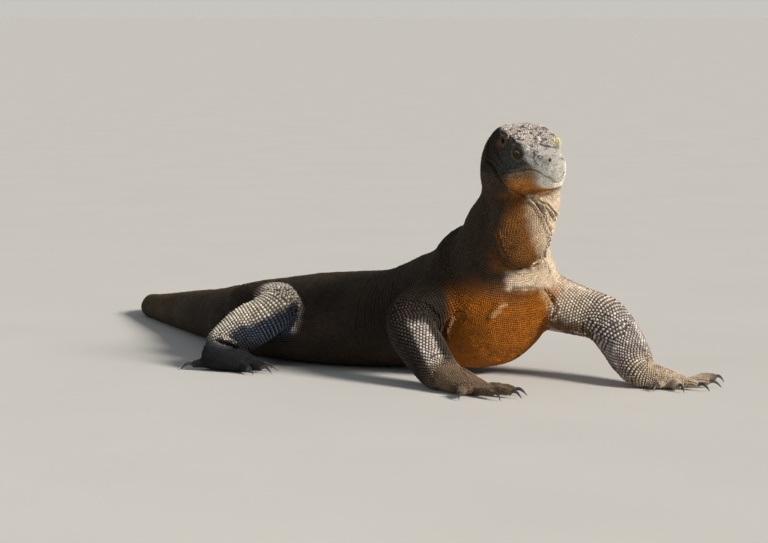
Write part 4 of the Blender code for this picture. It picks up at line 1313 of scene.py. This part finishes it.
def make_coat(skin, tubes, rng):
    tree = skin_tree(skin.data)
    scales = Scales()
    for name, tube in tubes.items():
        if name[-1].isdigit():
            lay_rows(scales, tree, tube, 0.25, 1.0, 0.012)
    for name in PAWS:
        lay_rows(scales, tree, tubes[name], 0.1, 1.0, 0.014)
    for name in LIMBS:
        lay_rows(scales, tree, tubes[name], 0.2, 0.97, 0.022)
    lay_rows(scales, tree, tubes["spine"], 0.045, 0.995, 0.030)
    positions = np.array([row[:3] for row in scales.rows])
    drop = is_head(turned(positions, HEAD.inverted()))
    again = Scales()
    for row, off in zip(scales.rows, drop):
        if not off:
            again.add(row[:3], row[3:6], row[6])
    fill_gaps(again, skin, rng)

    rows = again.rows
    place = np.array([row[:3] for row in rows])
    normal = unit(np.array([row[3:6] for row in rows]))
    gap = np.array([row[6] for row in rows])
    keep = np.ones(len(rows), bool)
    for centre, *_ in eye_frames():
        keep &= np.linalg.norm(place - centre, axis=1) > EYE_RADIUS + 0.0004
    for pit in PIT_FRAMES[:4]:
        keep &= far_from_pit(place, pit) > 1.0
    index, _, _ = near_path(place, CREASE_LINES[0][0], 0.0013)
    keep[index] = False
    place, normal, gap = place[keep], normal[keep], gap[keep]

    finder = KDTree(len(place))
    for i, p in enumerate(place):
        finder.insert(p, i)
    finder.balance()
    room = np.array([np.mean([q[2] for q in finder.find_n(p, 4)[1:]]) for p in place])
    size = np.clip(room, gap * 0.80, gap * 1.18)

    owner, lie, chart = owners(place, tubes)
    names = list(tubes)
    on_limb = np.array([o < len(names) and names[o] in LIMBS for o in owner])
    size *= np.where(on_limb, 0.44, np.where(owner == len(names), 0.47, 0.475))
    across = unit(np.cross(normal, lie))
    lie = unit(np.cross(across, normal))
    build_coat(place, normal, across, lie, size, owner, chart, tubes, rng)


def owners(points, tubes):
    """For each point: the tube it lies on, the way its scales lie, and its place round it."""
    names = list(tubes)
    best = np.full(len(points), 9.0)
    owner = np.zeros(len(points), int)
    lie = np.zeros((len(points), 3))
    chart = np.zeros((len(points), 2))
    for number, name in enumerate(names):
        nearest, share, angle, outside = tubes[name].place(points)
        off = np.abs(outside) + (0 if name == "spine" else -0.003)
        off = off + np.maximum(0, np.abs(share - 0.5) - 0.5) * tubes[name].along[-1]
        closer = off < best
        best[closer] = off[closer]
        owner[closer] = number
        lie[closer] = tubes[name].lie[nearest[closer]]
        chart[closer, 0] = np.clip(share[closer], 0, 1)
        chart[closer, 1] = angle[closer] / math.tau + 0.5
    h = turned(points, HEAD.inverted())
    on_head = is_head(h)
    owner[on_head] = len(names)
    lie[on_head] = np.array(HEAD.to_3x3() @ Vector((1, 0, 0)))
    chart[on_head, 0] = np.clip(h[on_head, 0] / 0.18, 0, 1)
    chart[on_head, 1] = np.arctan2(h[on_head, 2] - 0.005, h[on_head, 1]) / math.tau + 0.5
    return owner, lie, chart


def coat_name(owner, share, names):
    """The coat piece that a scale belongs to."""
    if owner == len(names):
        return "scales_head"
    name = names[owner]
    if name == "spine":
        for limit, piece in ((0.235, "neck"), (0.345, "chest"), (0.425, "belly"),
                             (0.50, "loin"), (0.66, "tail_base"), (1.1, "tail")):
            if share < limit:
                return "scales_" + piece
    if name[-1].isdigit():
        name = name[:-2]
    return "scales_" + name


def build_coat(place, normal, across, lie, size, owner, chart, tubes, rng):
    names = list(tubes)
    template, faces = bead_shapes()
    colour, gaps = hide_colour(place, normal, tubes)
    back = turned(place, HEAD.inverted())[:, 0]
    vary = np.where(owner == len(names), 0.10 + 0.18 * ramp(back, 0.04, 0.08), 0.14)
    pale = 1 + vary * rng.standard_normal(len(place))
    colour = colour * np.clip(pale, 0.35, 1.6)[:, None]
    piece = np.array([coat_name(o, s, names) for o, s in zip(owner, chart[:, 0])])
    steep = np.array([0.90 if o < len(names) and names[o] in LIMBS else 0.66 for o in owner])
    high = size * (steep + 0.10 * rng.standard_normal(len(place)))
    long = size * (1.02 + 0.08 * rng.standard_normal(len(place)))
    wide = size * (1.00 + 0.06 * rng.standard_normal(len(place)))
    spin = 0.25 * rng.standard_normal(len(place))
    lie_turned = lie * np.cos(spin)[:, None] + across * np.sin(spin)[:, None]
    across_turned = across * np.cos(spin)[:, None] - lie * np.sin(spin)[:, None]
    for name in sorted(set(piece)):
        chosen = np.nonzero(piece == name)[0]
        for number, start in enumerate(range(0, len(chosen), COAT_PIECE)):
            index = chosen[start:start + COAT_PIECE]
            corners = (
                place[index][:, None]
                + lie_turned[index][:, None] * (template[None, :, 0:1] * long[index][:, None, None])
                + across_turned[index][:, None] * (template[None, :, 1:2] * wide[index][:, None, None])
                + normal[index][:, None] * (template[None, :, 2:3] * high[index][:, None, None])
            )
            corners[:, :, 2] = np.maximum(corners[:, :, 2], FLOOR_GAP * 0.5)
            uv = coat_chart(owner[index], chart[index], template)
            tint = np.ones((len(index), len(template), 4))
            tint[:, :, :3] = colour[index][:, None]
            # the base of each scale darkened: painted crevice shade
            tint[:, :BEAD_SIDES, :3] *= 0.25 + 0.55 * gaps[index][:, None, None]
            title = name if len(chosen) <= COAT_PIECE else f"{name}_{number + 1}"
            obj = joined_mesh(title, corners + SHIFT, faces, uv, tint)
            obj.data.materials.append(scale_material())
            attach(obj, "root")


def coat_chart(owner, chart, template):
    """A patch for each scale at its place on the unrolled tube, one strip to a tube."""
    strips = sorted(set(owner))
    strip = np.searchsorted(strips, owner)
    low = chart[:, 0].min() if len(strips) == 1 else 0.0
    span = (chart[:, 0].max() - low) if len(strips) == 1 else 1.0
    u = 0.004 + 0.992 * (chart[:, 0] - low) / max(span, 1e-6)
    v = (strip + 0.01 + 0.98 * chart[:, 1]) / len(strips)
    spots = np.column_stack([np.clip(u, 0.003, 0.997), np.clip(v, 0.003, 0.997)])
    return spots[:, None] + template[None, :, :2] * 0.0014


# ---------------------------------------------------------------- materials


def node(tree, kind, **values):
    made = tree.nodes.new(kind)
    for key, value in values.items():
        if key in made.inputs:
            made.inputs[key].default_value = value
        else:
            setattr(made, key, value)
    return made


def new_material(name):
    """A material, its node tree, its shader, and the place on the object that noise reads."""
    made = bpy.data.materials.new(name)
    made.use_nodes = True
    tree = made.node_tree
    place = node(tree, "ShaderNodeTexCoord")
    return made, tree, tree.nodes["Principled BSDF"], place.outputs["Object"]


def noise(tree, place, **values):
    made = node(tree, "ShaderNodeTexNoise", **values)
    tree.links.new(place, made.inputs["Vector"])
    return made.outputs["Fac"]


def spread(tree, value, low, high):
    """A value from 0 to 1, spread from low to high."""
    made = node(tree, "ShaderNodeMapRange")
    made.inputs["To Min"].default_value = low
    made.inputs["To Max"].default_value = high
    tree.links.new(value, made.inputs["Value"])
    return made.outputs["Result"]


def blend(tree, value, *stops):
    """The colour between two stops of (position, colour)."""
    made = node(tree, "ShaderNodeValToRGB")
    for element, (position, colour) in zip(made.color_ramp.elements, stops):
        element.position = position
        element.color = (*colour, 1)
    tree.links.new(value, made.inputs["Fac"])
    return made.outputs["Color"]


def add_relief(tree, shader, value, strength, distance):
    made = node(tree, "ShaderNodeBump", Strength=strength, Distance=distance)
    tree.links.new(value, made.inputs["Height"])
    tree.links.new(made.outputs["Normal"], shader.inputs["Normal"])


def use_tint(tree, shader, tone):
    """The mesh's own Tint, made lighter or darker by tone, as the base colour."""
    tint = node(tree, "ShaderNodeAttribute", attribute_name="Tint")
    scaled = node(tree, "ShaderNodeVectorMath", operation="SCALE")
    tree.links.new(tint.outputs["Color"], scaled.inputs[0])
    tree.links.new(tone, scaled.inputs["Scale"])
    tree.links.new(scaled.outputs["Vector"], shader.inputs["Base Color"])


def hide_material(name, lightness, roughness, bump, grain_size):
    made, tree, shader, place = new_material(name)
    fine = noise(tree, place, Scale=grain_size, Detail=4.0, Roughness=0.6)
    use_tint(tree, shader, spread(tree, fine, lightness * 0.78, lightness * 1.22))
    dull = spread(tree, fine, roughness - 0.10, roughness + 0.10)
    tree.links.new(dull, shader.inputs["Roughness"])
    rough = noise(tree, place, Scale=grain_size * 2.2, Detail=3.0)
    add_relief(tree, shader, rough, bump, 0.0006)
    shader.inputs["Specular IOR Level"].default_value = 0.18
    return made


MADE = {}


def scale_material():
    if "scales" not in MADE:
        MADE["scales"] = hide_material("scale_beads", 1.15, 0.60, 0.35, 420.0)
    return MADE["scales"]


def horn_material():
    made, tree, shader, place = new_material("claw_horn_fine")
    streak = noise(tree, place, Scale=260.0, Detail=4.0, Roughness=0.65)
    horn = blend(tree, streak, (0.35, (0.012, 0.011, 0.012)), (0.75, (0.095, 0.088, 0.082)))
    tree.links.new(horn, shader.inputs["Base Color"])
    tree.links.new(spread(tree, streak, 0.22, 0.42), shader.inputs["Roughness"])
    add_relief(tree, shader, streak, 0.25, 0.0004)
    return made


def eye_material():
    made, tree, shader, place = new_material("eye_wet")
    fleck = noise(tree, place, Scale=900.0, Detail=3.0)
    use_tint(tree, shader, spread(tree, fleck, 0.7, 1.3))
    shader.inputs["Roughness"].default_value = 0.16
    shader.inputs["Specular IOR Level"].default_value = 0.20
    shader.inputs["Coat Weight"].default_value = 0.08
    shader.inputs["Coat Roughness"].default_value = 0.04
    return made


# ---------------------------------------------------------------- skin, eyes, claws


def add_tint(mesh, colours):
    layer = mesh.color_attributes.new("Tint", "FLOAT_COLOR", "POINT")
    full = np.ones((len(colours), 4), np.float32)
    full[:, :3] = colours
    layer.data.foreach_set("color", full.ravel())


def finish_skin(skin, tubes):
    mesh = skin.data
    colours, gaps = hide_colour(coordinates(mesh), normals(mesh), tubes)
    add_tint(mesh, colours * gaps[:, None])
    mesh.materials.clear()
    mesh.materials.append(hide_material("hide_between_scales", 0.85, 0.72, 0.5, 300.0))
    set_coordinates(mesh, coordinates(mesh) + SHIFT)
    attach(skin, "root")
    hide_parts(*FLESH)


def make_eyes():
    finish = eye_material()
    for (centre, gaze, along, up), hand in zip(eye_frames(), ("L", "R")):
        bm = bmesh.new()
        bmesh.ops.create_uvsphere(bm, u_segments=64, v_segments=48, radius=EYE_RADIUS - 0.0001)
        eye = object_of(f"eyeball_{hand}", bm)
        co = coordinates(eye.data)
        unit_co = co / np.linalg.norm(co, axis=1)[:, None]
        facing = np.degrees(np.arccos(np.clip(unit_co @ gaze, -1, 1)))
        round_about = np.arctan2(unit_co @ up, unit_co @ along)
        streak = 0.5 + 0.5 * np.sin(round_about * 23 + 3 * np.sin(round_about * 5))
        tint = np.ones((len(co), 3)) * (0.050, 0.028, 0.015)
        tint = over(tint, (0.085, 0.045, 0.014), ramp(facing, 37, 33) * (0.6 + 0.4 * streak))
        tint = over(tint, (0.15, 0.085, 0.024), ramp(facing, 30, 27) * (0.5 + 0.3 * streak))
        tint = over(tint, (0.003, 0.002, 0.002), ramp(facing, 25.5, 23.5))
        # painted sunlight on the upper part of the iris
        upper = ramp(unit_co @ up * np.sign(up[2]), 0.10, 0.24)
        tint = over(tint, (0.30, 0.17, 0.045), upper * ramp(facing, 40, 34) * ramp(facing, 12, 18))
        tint = over(tint, (0.02, 0.012, 0.008), ramp(facing, 37, 41))
        add_tint(eye.data, tint)
        set_coordinates(eye.data, co + centre + SHIFT)
        eye.data.shade_smooth()
        eye.data.materials.append(finish)
        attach(eye, "root")
        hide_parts(f"eye_{hand}")


def make_claws():
    finish = horn_material()
    for paw_name, paw in PAWS.items():
        for number, tip in enumerate(paw["tips"], 1):
            bm = bmesh.new()
            add_loft(bm, claw_rings(paw, tip, 20, 18))
            claw = object_of(f"horn_{paw_name}_{number}", bm)
            set_coordinates(claw.data, coordinates(claw.data) + SHIFT)
            claw.data.shade_smooth()
            claw.data.materials.append(finish)
            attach(claw, "root")
            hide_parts(f"claw_{paw_name}_{number}")


# ---------------------------------------------------------------- studio


def make_floor():
    bpy.ops.mesh.primitive_circle_add(vertices=96, radius=400, fill_type="NGON")
    floor = bpy.context.object
    floor.name = "studio_floor"
    made, tree, shader, place = new_material("studio_floor")
    cloud = noise(tree, place, Scale=3.0, Detail=5.0)
    colour = blend(tree, cloud, (0.0, (0.61, 0.60, 0.58)), (1.0, (0.67, 0.66, 0.64)))
    tree.links.new(colour, shader.inputs["Base Color"])
    shader.inputs["Roughness"].default_value = 0.9
    floor.data.materials.append(made)
    floor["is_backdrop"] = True


def add_light(name, energy, size, place, target, colour):
    light = bpy.data.lights.new(name, "AREA")
    light.energy = energy
    light.size = size
    light.color = colour
    obj = bpy.data.objects.new(name, light)
    obj.location = place
    obj.rotation_mode = "QUATERNION"
    obj.rotation_quaternion = (Vector(target) - Vector(place)).to_track_quat("-Z", "Y")
    bpy.context.scene.collection.objects.link(obj)


CAMERA_DISTANCE, CAMERA_HEIGHT, CAMERA_PITCH = 5.2, 0.65, 5.46
CAMERA_LENS, SENSOR = 126.56, 36.0


def make_studio():
    camera = bpy.data.cameras.new("camera")
    camera.lens = CAMERA_LENS
    camera.sensor_width = SENSOR
    obj = bpy.data.objects.new("camera", camera)
    obj.location = Vector((0, -CAMERA_DISTANCE, CAMERA_HEIGHT)) + Vector(SHIFT)
    obj.rotation_euler = (math.radians(90 - CAMERA_PITCH), 0, 0)
    bpy.context.scene.collection.objects.link(obj)
    bpy.context.scene.camera = obj

    key = bpy.data.lights.new("key", "SUN")
    key.energy = 4.5
    key.angle = math.radians(16)
    key.color = (1.0, 0.93, 0.83)
    obj = bpy.data.objects.new("key", key)
    obj.rotation_mode = "QUATERNION"
    obj.rotation_quaternion = Vector((-0.70, 0.52, -0.50)).to_track_quat("-Z", "Y")
    bpy.context.scene.collection.objects.link(obj)
    add_light("fill", 14, 2.4, (-2.6, -3.4, 2.2), (0.0, -0.3, 0.15), (0.88, 0.94, 1.0))
    world = bpy.data.worlds.new("studio_air")
    world.use_nodes = True
    tree = world.node_tree
    place = node(tree, "ShaderNodeTexCoord")
    parts = node(tree, "ShaderNodeSeparateXYZ")
    tree.links.new(place.outputs["Generated"], parts.inputs["Vector"])
    air = blend(tree, parts.outputs["Z"], (0.03, (0.575, 0.56, 0.53)), (0.22, (0.195, 0.205, 0.215)))
    tree.links.new(air, tree.nodes["Background"].inputs["Color"])
    bpy.context.scene.world = world
    bpy.context.scene.view_settings.view_transform = "Standard"


# ---------------------------------------------------------------- all together

eye_low, eye_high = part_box("eye_R")
SHIFT = (np.array(eye_low) + np.array(eye_high)) / 2 - np.array(eye_centre(-1))
SHIFT[2] = 0.0

tubes = all_tubes()
hide = finished_skin(tubes)
make_coat(hide, tubes, np.random.default_rng(396))
finish_skin(hide, tubes)
make_eyes()
make_claws()
make_floor()
make_studio()

boxes = {"cad": CAD_BOX, "visual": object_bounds()}
{k: [[float(c) for c in corner] for corner in v] for k, v in boxes.items()}
